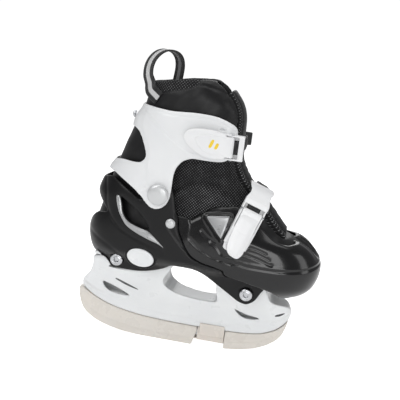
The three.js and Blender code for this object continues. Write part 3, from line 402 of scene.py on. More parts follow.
TOE = {
    "xr": [[74, -70], [182, -70]],
    "xf": [[74, 124], [77, 133], [80, 138], [85, 143], [90, 146.5], [100, 150], [108, 151], [115, 150.5], [120, 149.2], [125, 146.8], [130, 142.5], [134, 137], [137, 130], [140, 122], [145, 113], [150, 106], [155, 101], [160, 97], [165, 92], [176, 84]],
    "hw": [[74, 26], [77, 33], [80, 37], [85, 41.5], [90, 44.2], [100, 45.8], [108, 46.6], [115, 46.6], [122, 46], [131, 45], [140, 43.5], [148, 42.4], [156, 41], [164, 40], [176, 37]],
    "fx": [[-70, 0.88], [-33, 0.89], [0, 0.905], [20, 0.92], [50, 0.972], [80, 1], [150, 1]],
    "Lr": [[74, 20], [182, 20]], "Lf": [[74, 50], [110, 56], [130, 66], [150, 82], [176, 66]], "n": 2.35}
CUFF = {
    "xr": [[150, -93], [172, -92], [181, -90.5], [189, -87.5], [193, -84.5], [200, -80.5], [210, -76.5], [228, -69.5], [234, -67], [240, -65], [250, -60.5], [262, -56]],
    "xf": [[150, 60], [262, 60]],
    "hw": [[150, 47.6], [171, 47.4], [190, 46.4], [212, 45], [240, 43.8], [262, 42.4]],
    "fx": [[-95, 1], [80, 1]], "Lr": [[150, 62], [262, 52]], "Lf": [[150, 30], [200, 24], [262, 22]], "n": 2.2}
PIVOT, GUIDE, BOLT_REAR, BOLT_FRONT, BUTTON = (-23, 171), (-7, 143), (-63, 91), (78, 76), (-35, 101)
POD_FACE, POD_FLOOR, TILT, TRAVEL = -42.6, -39.7, -0.14, 20
BOTTOM = [[-106, 45], [-90, 36.5], [-75, 30.5], [-62, 27], [-40, 23.5], [-18, 22], [10, 21.2], [49, 21.2], [80, 22.6], [99, 25.5], [113, 31.5], [121, 38], [126.5, 45.5]]
# every face of a carried frame stays the frame's: rounding works inwards
SHELL_T, CUFF_T = 2.7, 2.8

# ------------------------------------------------------------------ materials
def nodes_of(name):
    m = bpy.data.materials.new(name)
    m.use_nodes = True
    nt = m.node_tree
    b = nt.nodes["Principled BSDF"]
    return m, nt, b


def N_(nt, kind, **kw):
    n = nt.nodes.new(kind)
    for k, v in kw.items():
        if k.startswith("i_"):
            n.inputs[k[2:].replace("_", " ")].default_value = v
        else:
            setattr(n, k, v)
    return n


def math_(nt, op, a, b=None, clamp=False):
    n = nt.nodes.new("ShaderNodeMath")
    n.operation = op
    n.use_clamp = clamp
    for i, v in enumerate((a, b)):
        if v is None:
            continue
        if isinstance(v, (int, float)):
            n.inputs[i].default_value = v
        else:
            nt.links.new(v, n.inputs[i])
    return n.outputs[0]


def noise(nt, scale, detail=3.0, rough=0.5, vec=None):
    n = nt.nodes.new("ShaderNodeTexNoise")
    n.inputs["Scale"].default_value = scale
    n.inputs["Detail"].default_value = detail
    n.inputs["Roughness"].default_value = rough
    if vec is None:
        vec = nt.nodes.new("ShaderNodeTexCoord").outputs["Object"]
    nt.links.new(vec, n.inputs["Vector"])
    return n.outputs["Fac"]


def ramp(nt, fac, a, b, lo, hi):
    n = nt.nodes.new("ShaderNodeMapRange")
    n.inputs["From Min"].default_value = a
    n.inputs["From Max"].default_value = b
    n.inputs["To Min"].default_value = lo
    n.inputs["To Max"].default_value = hi
    nt.links.new(fac, n.inputs["Value"])
    return n.outputs["Result"]


def mixc(nt, fac, a, b):
    n = nt.nodes.new("ShaderNodeMix")
    n.data_type = "RGBA"
    for i, v in ((6, a), (7, b)):
        if isinstance(v, tuple):
            n.inputs[i].default_value = (*v, 1)
        else:
            nt.links.new(v, n.inputs[i])
    if isinstance(fac, (int, float)):
        n.inputs[0].default_value = fac
    else:
        nt.links.new(fac, n.inputs[0])
    return n.outputs[2]


def attr(nt, name):
    n = nt.nodes.new("ShaderNodeAttribute")
    n.attribute_name = name
    return n.outputs["Fac"]


def bump(nt, b, height, strength, dist, prev=None):
    n = nt.nodes.new("ShaderNodeBump")
    n.inputs["Strength"].default_value = strength
    n.inputs["Distance"].default_value = dist
    nt.links.new(height, n.inputs["Height"])
    if prev is not None:
        nt.links.new(prev, n.inputs["Normal"])
    nt.links.new(n.outputs[0], b.inputs["Normal"])
    return n.outputs[0]


def plastic(name, c1, c2, r, metal=0.0, coat=0.0, coat_r=0.08, grain=0.04, ior=1.5, sss=0.0, marks=()):
    """Moulded plastic: slight tone drift, uneven gloss, fine mould grain and a few handling scuffs. marks: (attribute, colour)."""
    m, nt, b = nodes_of(name)
    big = noise(nt, 22, 4)
    col = mixc(nt, ramp(nt, big, 0.35, 0.65, 0, 1), c1, c2)
    for a, colour, lo, hi in marks:
        col = mixc(nt, ramp(nt, attr(nt, a), lo, hi, 1, 0), col, colour)
    nt.links.new(col, b.inputs["Base Color"])
    mid = noise(nt, 90, 3)
    nt.links.new(ramp(nt, mid, 0.3, 0.7, r * 0.88, r * 1.14), b.inputs["Roughness"])
    b.inputs["Metallic"].default_value = metal
    b.inputs["IOR"].default_value = ior
    b.inputs["Coat Weight"].default_value = coat
    b.inputs["Coat Roughness"].default_value = coat_r
    if sss:
        b.inputs["Subsurface Weight"].default_value = sss
        b.inputs["Subsurface Radius"].default_value = (1.0, 0.95, 0.85)
        b.inputs["Subsurface Scale"].default_value = 0.003
    fine = noise(nt, 900, 2)
    p = bump(nt, b, fine, grain, 0.0003)
    bump(nt, b, noise(nt, 60, 2), 0.05, 0.0006, p)
    return m


def steel(name, c, r, brush=(1, 1, 1), scale=400):
    m, nt, b = nodes_of(name)
    tc = nt.nodes.new("ShaderNodeTexCoord").outputs["Object"]
    mp = nt.nodes.new("ShaderNodeMapping")
    mp.inputs["Scale"].default_value = brush
    nt.links.new(tc, mp.inputs["Vector"])
    n1 = noise(nt, scale, 4, 0.6, mp.outputs[0])
    nt.links.new(mixc(nt, n1, tuple(x * 0.86 for x in c), c), b.inputs["Base Color"])
    nt.links.new(ramp(nt, n1, 0.3, 0.7, r * 0.75, r * 1.3), b.inputs["Roughness"])
    b.inputs["Metallic"].default_value = 1.0
    bump(nt, b, n1, 0.12, 0.0001)
    return m


WHITE = plastic("white_moulding", (0.80, 0.81, 0.815), (0.765, 0.775, 0.785), 0.34, coat=0.25, coat_r=0.12, sss=0.06)
HOLDER_WHITE = plastic("holder_white", (0.80, 0.815, 0.82), (0.76, 0.775, 0.785), 0.3, coat=0.3, coat_r=0.1, sss=0.06, marks=(("mark", (0.03, 0.03, 0.035), -0.05, 0.12),))
BUCKLE_WHITE = plastic("buckle_acetal", (0.81, 0.815, 0.82), (0.77, 0.775, 0.785), 0.3, coat=0.2, sss=0.06, marks=(("mark", (0.86, 0.60, 0.02), -0.05, 0.12),))
SATIN_BLACK = plastic("shell_black", (0.0060, 0.0060, 0.0066), (0.0045, 0.0045, 0.005), 0.33, coat=0.05, coat_r=0.2, grain=0.04, ior=1.34)
GLOSS_BLACK = plastic("toe_gloss", (0.0042, 0.0042, 0.0046), (0.003, 0.003, 0.0034), 0.2, coat=0.4, coat_r=0.09, grain=0.015, ior=1.4)
SILVER = plastic("silver_trim", (0.42, 0.425, 0.43), (0.36, 0.365, 0.37), 0.3, metal=0.55, coat=0.2, grain=0.05)
CAP_SILVER = plastic("rivet_enamel", (0.62, 0.63, 0.635), (0.58, 0.59, 0.595), 0.3, metal=0.3, coat=0.3, grain=0.01)
GUARD = plastic("guard_cream", (0.74, 0.705, 0.655), (0.705, 0.665, 0.61), 0.28, coat=0.3, coat_r=0.12, sss=0.3)
LINK = plastic("link_cream", (0.74, 0.69, 0.635), (0.705, 0.65, 0.59), 0.26, coat=0.3, coat_r=0.1, sss=0.3)
STRAP = plastic("strap_black", (0.010, 0.010, 0.011), (0.007, 0.007, 0.008), 0.42, grain=0.1)
ZINC = steel("zinc_plate", (0.60, 0.61, 0.63), 0.24)
RUNNER = steel("runner_steel", (0.58, 0.585, 0.59), 0.22, (0.05, 1, 1), 900)
WIRE = steel("spring_wire", (0.45, 0.45, 0.46), 0.3)


def fabric(name, base, dot, leather_col, pitch=0.0022, threads=0.4):
    """Black spacer mesh: open knit with a pale diamond dot grid; attribute 'mesh' > 0 is smooth synthetic leather instead."""
    m, nt, b = nodes_of(name)
    u, v = attr(nt, "pu"), attr(nt, "pv")
    k = 1000.0
    a = math_(nt, "MULTIPLY", math_(nt, "ADD", u, v), 2 * math.pi / (pitch * k * 1.414) * 1.0)
    c = math_(nt, "MULTIPLY", math_(nt, "SUBTRACT", u, v), 2 * math.pi / (pitch * k * 1.414) * 1.0)
    wa, wc = math_(nt, "SINE", a), math_(nt, "SINE", c)
    cell = math_(nt, "ADD", math_(nt, "MULTIPLY", wa, 0.5), math_(nt, "MULTIPLY", wc, 0.5))
    wob = noise(nt, 160, 2)
    cell = math_(nt, "ADD", cell, ramp(nt, wob, 0.3, 0.7, -0.16, 0.16))
    dots = ramp(nt, cell, 0.42, 0.8, 0, 1)
    patch = noise(nt, 16, 3)
    dots = math_(nt, "MULTIPLY", dots, ramp(nt, patch, 0.34, 0.66, 0.45, 1.0))
    dots = math_(nt, "MULTIPLY", dots, ramp(nt, attr(nt, "bright"), 0, 1, threads, 1.0))
    knit = mixc(nt, dots, base, dot)
    lea = mixc(nt, ramp(nt, noise(nt, 240, 4), 0.3, 0.7, 0, 1), leather_col, tuple(x * 0.72 for x in leather_col))
    is_l = ramp(nt, attr(nt, "mesh"), -0.15, 0.15, 0, 1)
    stitch = math_(nt, "MULTIPLY", ramp(nt, math_(nt, "ABSOLUTE", math_(nt, "SUBTRACT", attr(nt, "mesh"), 1.6)), 0.16, 0.34, 1, 0),
                   ramp(nt, math_(nt, "SINE", math_(nt, "MULTIPLY", math_(nt, "ADD", u, math_(nt, "MULTIPLY", v, 0.6)), 2.2)), -0.2, 0.1, 0, 1))
    col = mixc(nt, is_l, knit, mixc(nt, math_(nt, "MULTIPLY", stitch, 0.5), lea, (0.05, 0.05, 0.052)))
    nt.links.new(col, b.inputs["Base Color"])
    nt.links.new(ramp(nt, is_l, 0, 1, 0.85, 0.4), b.inputs["Roughness"])
    b.inputs["Sheen Weight"].default_value = 0.06
    b.inputs["Sheen Roughness"].default_value = 0.5
    b.inputs["Specular IOR Level"].default_value = 0.3
    hole = math_(nt, "MULTIPLY", math_(nt, "SUBTRACT", 1.0, is_l), cell)
    p = bump(nt, b, hole, 0.45, 0.0006)
    vor = nt.nodes.new("ShaderNodeTexVoronoi")
    vor.inputs["Scale"].default_value = 650
    nt.links.new(nt.nodes.new("ShaderNodeTexCoord").outputs["Object"], vor.inputs["Vector"])
    pebble = math_(nt, "MULTIPLY", vor.outputs["Distance"], is_l)
    p = bump(nt, b, pebble, 0.12, 0.0004, p)
    p = bump(nt, b, math_(nt, "MULTIPLY", stitch, is_l), 0.5, 0.0005, p)
    bump(nt, b, noise(nt, 45, 3), 0.18, 0.0012, p)
    return m


LINER_MAT = fabric("liner_cloth", (0.0045, 0.0045, 0.005), (0.27, 0.275, 0.28), (0.0065, 0.0065, 0.0072))
TONGUE_MAT = fabric("tongue_cloth", (0.0045, 0.0045, 0.005), (0.34, 0.345, 0.35), (0.0055, 0.0055, 0.006), threads=0.7)


def finish(o, mat, body, slot, *nodes, blend=None, pad=None):
    o.data.materials.append(mat)
    if nodes:
        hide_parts(*nodes)
    if blend:
        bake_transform(o)
    else:
        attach(o, body)
    return o


# ------------------------------------------------------------------ toe shell
def hexa(g, r, cx, cz, a0=0.0):
    d = None
    for i in range(3):
        a = a0 + i * math.pi / 3
        q = np.abs((g.X - cx) * math.cos(a) + (g.Z - cz) * math.sin(a)) - r
        d = q if d is None else np.maximum(d, q)
    return d


def rodf(g, r, cx, cz):
    return np.sqrt((g.X - cx) ** 2 + (g.Z - cz) ** 2) - r


TRI = [[26.8, 154.2], [28.8, 155.2], [50.4, 158.6], [52.2, 157.4], [46.6, 134.6], [44.8, 134.2]]
TRI_OUT = [[25.4, 152.6], [31.5, 157.4], [52.5, 160.2], [50.6, 152.8], [46.4, 134.5], [42, 135]]
IO = np.array((66.5, -43.6, 149.0))
IU = np.array((0.31737739, 0.21639368, 0.92327968))
IY = np.array((-0.21275644, 0.96504467, -0.15304732))
IZ = np.array((-0.92412461, -0.14785994, 0.35232251))


def local(g, o, R):
    P = [g.X - o[0], g.Y - o[1], g.Z - o[2]]
    return [P[0] * R[k][0] + P[1] * R[k][1] + P[2] * R[k][2] for k in range(3)]


def toe_shell():
    g = Grid((-35, -53, 70), (154, 50, 172), 0.95)
    d = form(g, TOE)
    x2, z2 = g.ax[0][:, None], g.ax[2][None, :]
    SIDE = [[3, 142], [10, 147.5], [22, 157], [34, 164.5], [42, 167], [55, 168.5], [66, 166], [75, 158], [84, 149.5], [99, 138.5], [112, 135], [122, 136.5], [160, 142], [160, 60], [118, 74], [104, 85.5], [95, 88.5], [70, 94], [54, 96.5], [52, 102], [40, 104.2], [27, 105.5], [18, 108], [8, 118], [3, 128]]
    out2 = poly2(g, SIDE, 2)
    # surface relief of the outer face, as a depth below the form
    TOEL = [[46.6, 112.6], [62.1, 112.1], [76.7, 110.3], [92, 110.1], [104, 110.3], [118.9, 111.4], [134.9, 113.1], [148, 116.4], [153, 118]]
    rel = grooves(g, [TOEL], 1.5, 0.85)
    rel = np.maximum(rel, grooves(g, [[[68.7, 123.2], [81.2, 121.1], [100, 115.6]], [[68, 127.2], [84.7, 125.3], [97, 120.6]], [[67, 131.2], [82, 130], [93, 126.4]]], 1.1, 0.55))
    rel = np.maximum(rel, grooves(g, [[[25, 138.8], [31.4, 133.4], [41, 129.6]], [[36, 129.4], [42.8, 126.2], [47.5, 119.9]], [[14, 129], [24, 120.5], [40, 113.5], [60, 110]]], 1.2, 0.6))
    low = np.interp(g.ax[0], [p[0] for p in TOEL], [p[1] for p in TOEL])[:, None]
    rel = rel + 0.7 * sstep(0, 5, z2 - low - 1.0) * sstep(40, 62, x2) * (1 - sstep(10, 26, z2 - low))
    rel = rel + 1.3 * np.exp(-np.maximum(-out2, 0) / 3.2) * sstep(126, 140, z2) * sstep(96, 70, x2)
    rel = rel + 0.9 * np.exp(-(line2(g, [[3, 128], [3, 142], [22, 157], [42, 167.2], [66, 166]], 2) / 2.6) ** 2)
    tri_o = poly2(g, TRI_OUT, 1)
    tri_i = poly2(g, TRI, 1)
    rel = rel + 0.5 * (1 - sstep(-1.2, 0.6, tri_o)) + 0.7 * np.exp(-((tri_i - 1.3) / 0.9) ** 2) - 0.6 * np.exp(-((tri_i - 3.4) / 1.0) ** 2)
    d += rel[:, None, :].astype(np.float32)
    # valley between the two lobes of the cap, with a row of pressed slots
    zz = g.Z
    val = (7.6 * sstep(110, 127, zz) * sstep(70, 92, g.X) * (1 - sstep(139, 152, g.X))).astype(np.float32)
    yy = np.abs(g.Y)
    d += val * np.exp(-(yy / 10.5) ** 2)
    lobe = np.exp(-((yy - 17.5) / 3.0) ** 2) * 0.8 * sstep(116, 130, zz) * sstep(84, 96, g.X)
    for i in range(7):
        cx = 97 + 6.6 * i
        cy = 13.2 - 0.55 * i
        lobe = lobe + 1.0 * np.exp(-((g.X - cx) / 2.3) ** 2 - ((yy - cy) / 1.5) ** 2) * sstep(116, 128, zz)
    d += lobe.astype(np.float32)
    inner = d + SHELL_T + 0.1
    inner = smax(inner, -poly(g, [[-90, 97], [50, 97], [60, 96.4], [99, 92], [106, 88.5], [118, 79], [160, 78], [160, 60], [-90, 60]], 0), 1.5)
    shell = smax(d, -inner, 0.9)
    under = np.maximum(poly(g, [[-60, 60], [-60, 98.9], [31.5, 98.9], [48, 94], [99, 89], [99, 60]], 0), np.abs(g.Y) - 33.9)
    shell = smax(shell, -under, 0.8)
    shell = smax(shell, out2[:, None, :], 1.3)
    slotp = plan(g, [[-80, -36], [40, -34], [66, -29], [84, -22], [104, -12.5], [117, -7.5], [119.5, 0], [117, 7.5], [104, 12.5], [84, 22], [66, 29], [40, 34], [-80, 36]], 2)
    shell = smax(shell, -smax(slotp, 104 - g.Z, 1), 2.2)
    # guide arms
    A = form(g, TOE, -0.05)
    arms = smax(A, -(A + 1.95), 0.3)
    arms = smax(arms, poly(g, [[-31, 136], [-31, 150], [-22, 152], [4, 150], [12, 149], [12, 120], [4, 126], [-8, 134]], 1), 0.6)
    arms = np.maximum(arms, 36.7 - np.abs(g.Y))
    shell = smin(shell, arms, 0.6)
    # landing for the instep buckle
    lx, ly, lz = local(g, IO, (IU, IY, IZ))
    pad = smax(smax(np.abs(lx + 13) - 13.4, np.abs(lz) - 9.6, 3), smax(0.35 - ly, ly - 9, 0.6), 1.0)
    pad = smax(pad, -(d + 2.4), 0.3)
    shell = smin(shell, pad, 2.0)
    gx = GUIDE[0]
    slot = smax(smax(np.abs(g.Z - GUIDE[1]) - 3.3, gx - TRAVEL - 2.6 - g.X, 3), g.X - gx - 3.2, 3)
    shell = smax(shell, -slot, 0.4)
    for x in (-21, -8):
        shell = smax(shell, -(np.sqrt((lx - x) ** 2 + lz ** 2) - 2.35), 0.3)
        shell = smax(shell, -smax(np.sqrt((lx - x) ** 2 + lz ** 2) - 3.7, 5.4 - ly, 0.3), 0.3)
    o = skin(g, shell, "toe_shell_moulding", {"mark": lambda P: np.full(len(P), 5.0)})
    finish(o, GLOSS_BLACK, "toe_assembly", "toe_gloss_black", "toe_shell")
    # triangular inlays
    for sgn, tag in ((-1, "outer"), (1, "inner")):
        h = Grid((22, 30 if sgn > 0 else -50, 132), (56, 50 if sgn > 0 else -30, 163), 0.4)
        f = form(h, TOE)
        t = poly(h, TRI, 1)
        q = smax(smax(f - 0.3 + 0.3 * sstep(-2.5, 0, t), -(f + 0.75), 0.3), t + 0.2, 0.7)
        q = q + 0
        o = skin(h, q, "toe_inlay_" + tag)
        finish(o, SILVER, "toe_assembly", "silver_trim", "toe_trim_" + tag)


# ------------------------------------------------------------------ rear shell
VENT = [[-63.5, 162], [-60.5, 156], [-58.5, 146], [-52, 138], [-41, 134], [-30.5, 131.5], [-29.5, 135], [-38, 145.5], [-52, 155.5]]
REAR_SIDE = [[-110, 174], [-92, 174.6], [-84, 177.6], [-77, 180], [-66, 176], [-51, 167.5], [-41, 161.5], [-38.5, 167], [-37, 176], [-31, 183], [-22, 185], [-13, 182], [-7.5, 174], [-4, 158], [0, 146], [1, 136], [9, 121], [17, 110.5], [30, 105], [40, 103.6], [51.2, 101.4], [52.5, 93.2], [70, 91], [96, 87.8], [96, 84], [92.5, 79], [88, 69.5], [80, 64], [71, 65.6], [60, 72.6], [43, 83], [32, 90], [21, 95.2], [10, 96], [-4, 95.2], [-9, 90.5], [-20, 85.5], [-34, 81.5], [-50, 80], [-75, 81], [-80, 90], [-96, 94], [-110, 92]]


def oval(g, a, b):
    c, s = math.cos(TILT), math.sin(TILT)
    X, Z = g.X - BUTTON[0], g.Z - BUTTON[1]
    u, v = (X * c + Z * s) / a, (-X * s + Z * c) / b
    r = np.sqrt(u * u + v * v)
    return (r - 1) * (a + b) / 2 * np.clip(0.75 + 0.25 * r, 0.6, 1.1)


def rear_shell():
    g = Grid((-106, -50, 62), (99, 50, 188), 0.95)
    d = form(g, REAR)
    out2 = poly2(g, REAR_SIDE, 2)
    x2, z2 = g.ax[0][:, None], g.ax[2][None, :]
    vent = poly2(g, VENT, 2)
    hw = poly2(g, [[-75, 142.5], [-86, 152.5], [-97, 162], [-120, 163], [-120, 124], [-103, 125], [-94, 135], [-88, 139.5]], 2)
    rel = 0.9 * np.exp(-np.maximum(-out2, 0) / 2.6)
    rel = rel + 0.8 * np.exp(-np.maximum(vent, 0) / 2.4)
    rel = rel + 0.9 * np.exp(-np.maximum(hw, 0) / 3.0)
    rel = rel + grooves(g, [[[-9.6, 139.6], [-1.1, 129.3], [9.5, 119.3]], [[-3, 152], [-1, 143]]], 1.3, 0.7)
    rel = rel + grooves(g, [[[-84, 176], [-80, 162], [-78.5, 150], [-72, 139], [-60, 128], [-44, 121], [-28, 116.5], [-12, 111]]], 1.6, 0.55)
    rel = rel + 0.5 * np.exp(-(line2(g, [[-97, 118], [-70, 108], [-58, 99]], 2) / 2.2) ** 2)
    d += rel[:, None, :].astype(np.float32)
    # hollow shell with its floor, heel window, vents, holes and button pod
    inner = d + SHELL_T
    shell = smax(d, -inner, 0.8)
    floor = smax(smax(d + SHELL_T - 0.5, np.abs(g.Y) - 31.2, 0.5), poly(g, [[-100, 95.7], [30, 95.7], [33, 93.2], [46, 89.6], [96, 84.8], [96, 88.0], [47, 92.6], [31, 98.0], [-100, 98.2]], 0), 0.4)
    shell = smin(smax(shell, out2[:, None, :], 1.3), smax(floor, out2[:, None, :] - 0.2, 0.3), 0.8)
    shell = smax(shell, -hw[:, None, :], 1.2)
    shell = smax(shell, -vent[:, None, :], 1.2)
    for p in (BOLT_REAR, BOLT_FRONT):
        shell = smax(shell, -rodf(g, 4.6, *p), 0.3)
    shell = smax(shell, -rodf(g, 5.2, *PIVOT), 0.3)
    shell = smax(shell, -rodf(g, 3.2, *GUIDE), 0.3)
    for p, y in ((BOLT_REAR, 29.3), (BOLT_FRONT, 30.2)):
        shell = smax(shell, -smax(rodf(g, 7.7, *p), y - np.abs(g.Y), 0.6), 0.6)
    pod = smax(oval(g, 17, 12), smax(POD_FACE - g.Y, g.Y + 38.5, 0.5), 1.2)
    shell = smin(shell, pod, 1.6)
    shell = smax(shell, -smax(oval(g, 14.9, 9.9), g.Y - POD_FLOOR, 0.5), 0.5)
    shell = smax(shell, -smax(rodf(g, 2.7, BUTTON[0], 94.9), g.Y + 30, 0.3), 0.3)
    o = skin(g, shell, "rear_shell_moulding")
    finish(o, SATIN_BLACK, "chassis", "shell_black", "rear_shell")
    # silver crescents beside the vents
    C = [[-68.5, 162.5], [-66, 152], [-62, 143], [-54, 132.5], [-42, 126.5], [-27, 121.5], [-17, 119], [-9, 114.5], [-21, 125], [-29, 130.8], [-41, 133.2], [-52.6, 137.2], [-59.3, 145.5], [-61.4, 156], [-64, 162.8]]
    for sgn, tag in ((-1, "outer"), (1, "inner")):
        h = Grid((-72, 34 if sgn > 0 else -50, 111), (-5, 50 if sgn > 0 else -34, 166), 0.45)
        f = form(h, REAR)
        c2 = poly2(h, C, 2)
        ridge = np.clip(-c2 / 3.2, 0, 1)[:, None, :]
        q = smax(smax(f - 0.35 - 1.15 * ridge, -(f + 0.6), 0.4), c2[:, None, :], 0.7)
        o = skin(h, q, "vent_crescent_" + tag)
        finish(o, SILVER, "chassis", "silver_trim", "vent_trim_" + tag)


# ------------------------------------------------------------------ cuff
CUFF_SIDE = [[-48, 257.5], [-31, 256.2], [-18, 255.4], [6, 257], [26, 256], [37, 252.8], [45.5, 249], [48.5, 244], [48, 228], [44, 216], [37, 212], [20, 211], [7, 211.6], [-2, 208], [-8, 200], [-10, 190], [-10, 171], [-13, 162], [-18, 157], [-24, 155], [-30, 156], [-36, 161], [-41, 167], [-52, 174], [-63, 180], [-77, 186], [-110, 181.5], [-110, 194], [-82, 196], [-68, 200], [-47, 200], [-43, 203], [-41, 207], [-43, 214], [-48, 224], [-54, 231], [-62, 233.5], [-110, 231.5], [-110, 258]]
CREASE_A = [[-36, 244], [-33.2, 242], [-24.2, 234.2], [-13.1, 225.7], [-1.2, 219.4], [6.5, 215.4], [18.9, 213]]
CREASE_B = [[-43.7, 256], [-48.1, 248.6], [-50.1, 238.3], [-45, 228.9], [-38.9, 219.6], [-36.6, 207.7], [-37.8, 199.3], [-33.2, 185.5], [-34, 176]]


def cuff():
    g = Grid((-94, -51, 151), (52, 51, 262), 0.66)
    d = form(g, CUFF, 0, 3)
    out2 = poly2(g, CUFF_SIDE, 2)
    x2, z2 = g.ax[0][:, None], g.ax[2][None, :]
    up = poly2(g, [[-60, 262], *CREASE_A[1:], [60, 208], [70, 262]], 2)       # upper band, negative inside
    back = poly2(g, [[-120, 262], *CREASE_B[:-1], [-36, 170], [-120, 150]], 2)  # rear flank, negative inside
    rel = 1.0 * sstep(-0.4, 2.6, up)
    rel = rel + 0.75 * (1 - sstep(-3.0, 0.6, back))
    rel = rel + 0.6 * np.exp(-np.maximum(-out2, 0) / 2.5)
    rel = rel + grooves(g, [[[-43.3, 254.4], [-10.4, 250.8], [17.3, 252.6], [33.6, 249.6], [46.5, 243.6]]], 1.0, 0.35)
    rel = rel + 0.5 * (1 - sstep(0, 9, np.hypot(x2 - PIVOT[0], z2 - PIVOT[1]) - 11))
    rel = rel * (1 - 0.95 * np.exp(-((x2 + 64) / 13) ** 2 - ((z2 - 244) / 8) ** 2))
    d += rel[:, None, :].astype(np.float32)
    shell = smax(d, -(d - rel[:, None, :].astype(np.float32) + CUFF_T + 0.15), 0.6)
    shell = smax(shell, out2[:, None, :], 1.1)
    shell = smax(shell, -smax(20 - g.X, np.abs(g.Y) - 31, 1), 1.2)
    shell = smax(shell, -rodf(g, 5.2, *PIVOT), 0.3)
    slot = smax(np.abs(g.X - 33.4) - 2.6, np.abs(g.Z - 244.2 + 0.02 * (g.X - 33)) - 0.9, 0.3)
    shell = smax(shell, -smax(slot, -(d + 1.6), 0.3), 0.3)
    for x in (6, 19):
        r = np.sqrt((g.X - x) ** 2 + (g.Z - 229) ** 2)
        shell = smax(shell, -smax(r - 2.35, g.Y, 0.2), 0.3)
        shell = smax(shell, -smax(r - 3.7, smax(g.Y, -42.6 - g.Y, 0.2), 0.2), 0.3)
    r = np.sqrt((g.X - 32.5) ** 2 + (g.Z - 229) ** 2)
    shell = smax(shell, -smax(r - 2.35, -g.Y, 0.2), 0.3)
    shell = smax(shell, -smax(r - 3.7, smax(-g.Y, g.Y - 42.3, 0.2), 0.2), 0.3)
    r = np.sqrt(g.Y ** 2 + (g.Z - 244) ** 2)
    shell = smax(shell, -smax(r - 2.1, g.X + 30, 0.2), 0.3)
    o = skin(g, shell, "cuff_moulding")
    finish(o, WHITE, "cuff_assembly", "white_plastic", "cuff")


# ------------------------------------------------------------------ blade holder
HULL_SIDE = [[-90, 93.2], [-90, 80], [-94.5, 68], [-104, 57], [-107, 51], *BOTTOM, [128, 52], [127, 58], [123, 62.5], [114, 64.8], [107, 66.5], [102.5, 70.5], [100, 79], [91, 93.2]]
EDGE = [[-103, 40], [-99.5, 32], [-92, 25], [-80, 19], [-62, 14.2], [-40, 11.7], [-18, 10.7], [10, 10.4], [49, 10.4], [70, 11.8], [90, 15.2], [104, 20.4], [113, 26.2], [119, 33.5], [121, 39]]


def hull_field(g):
    x, z = g.ax[0].astype(float), g.ax[2].astype(float)
    W = np.zeros((len(x), len(z)))
    zb = tab(BOTTOM, x, 4) - 2.2
    end, bow = np.clip((x + 108) / 26, 0, 1), np.clip((129 - x) / 34, 0, 1)
    k = np.minimum(np.sqrt(np.maximum(0.02, 1 - (1 - end) ** 2)), np.sqrt(np.maximum(0.012, 1 - (1 - bow) ** 2)))
    for i in range(len(x)):
        zs = np.maximum(np.array([zb[i], zb[i] + 12, 45, 56, 66, 76, 84, 98]), zb[i] + 0.5 * np.arange(8))
        ws = np.array([7 * max(0.45, k[i]), 7.6 * max(0.4, k[i]), 10.4 * k[i] + 0.4, 15 * k[i] + 0.4, 20.5 * k[i] + 0.4, 25 * k[i] + 0.4, 27.4 * k[i], 28.2 * k[i]])
        W[i] = tab(np.column_stack([zs, ws]), z, 2.2)
    gx, gz = np.gradient(W, g.h)
    n = np.sqrt(1 + gx * gx + gz * gz)
    return (np.abs(g.Y) - W[:, None, :].astype(np.float32)) / n[:, None, :].astype(np.float32)


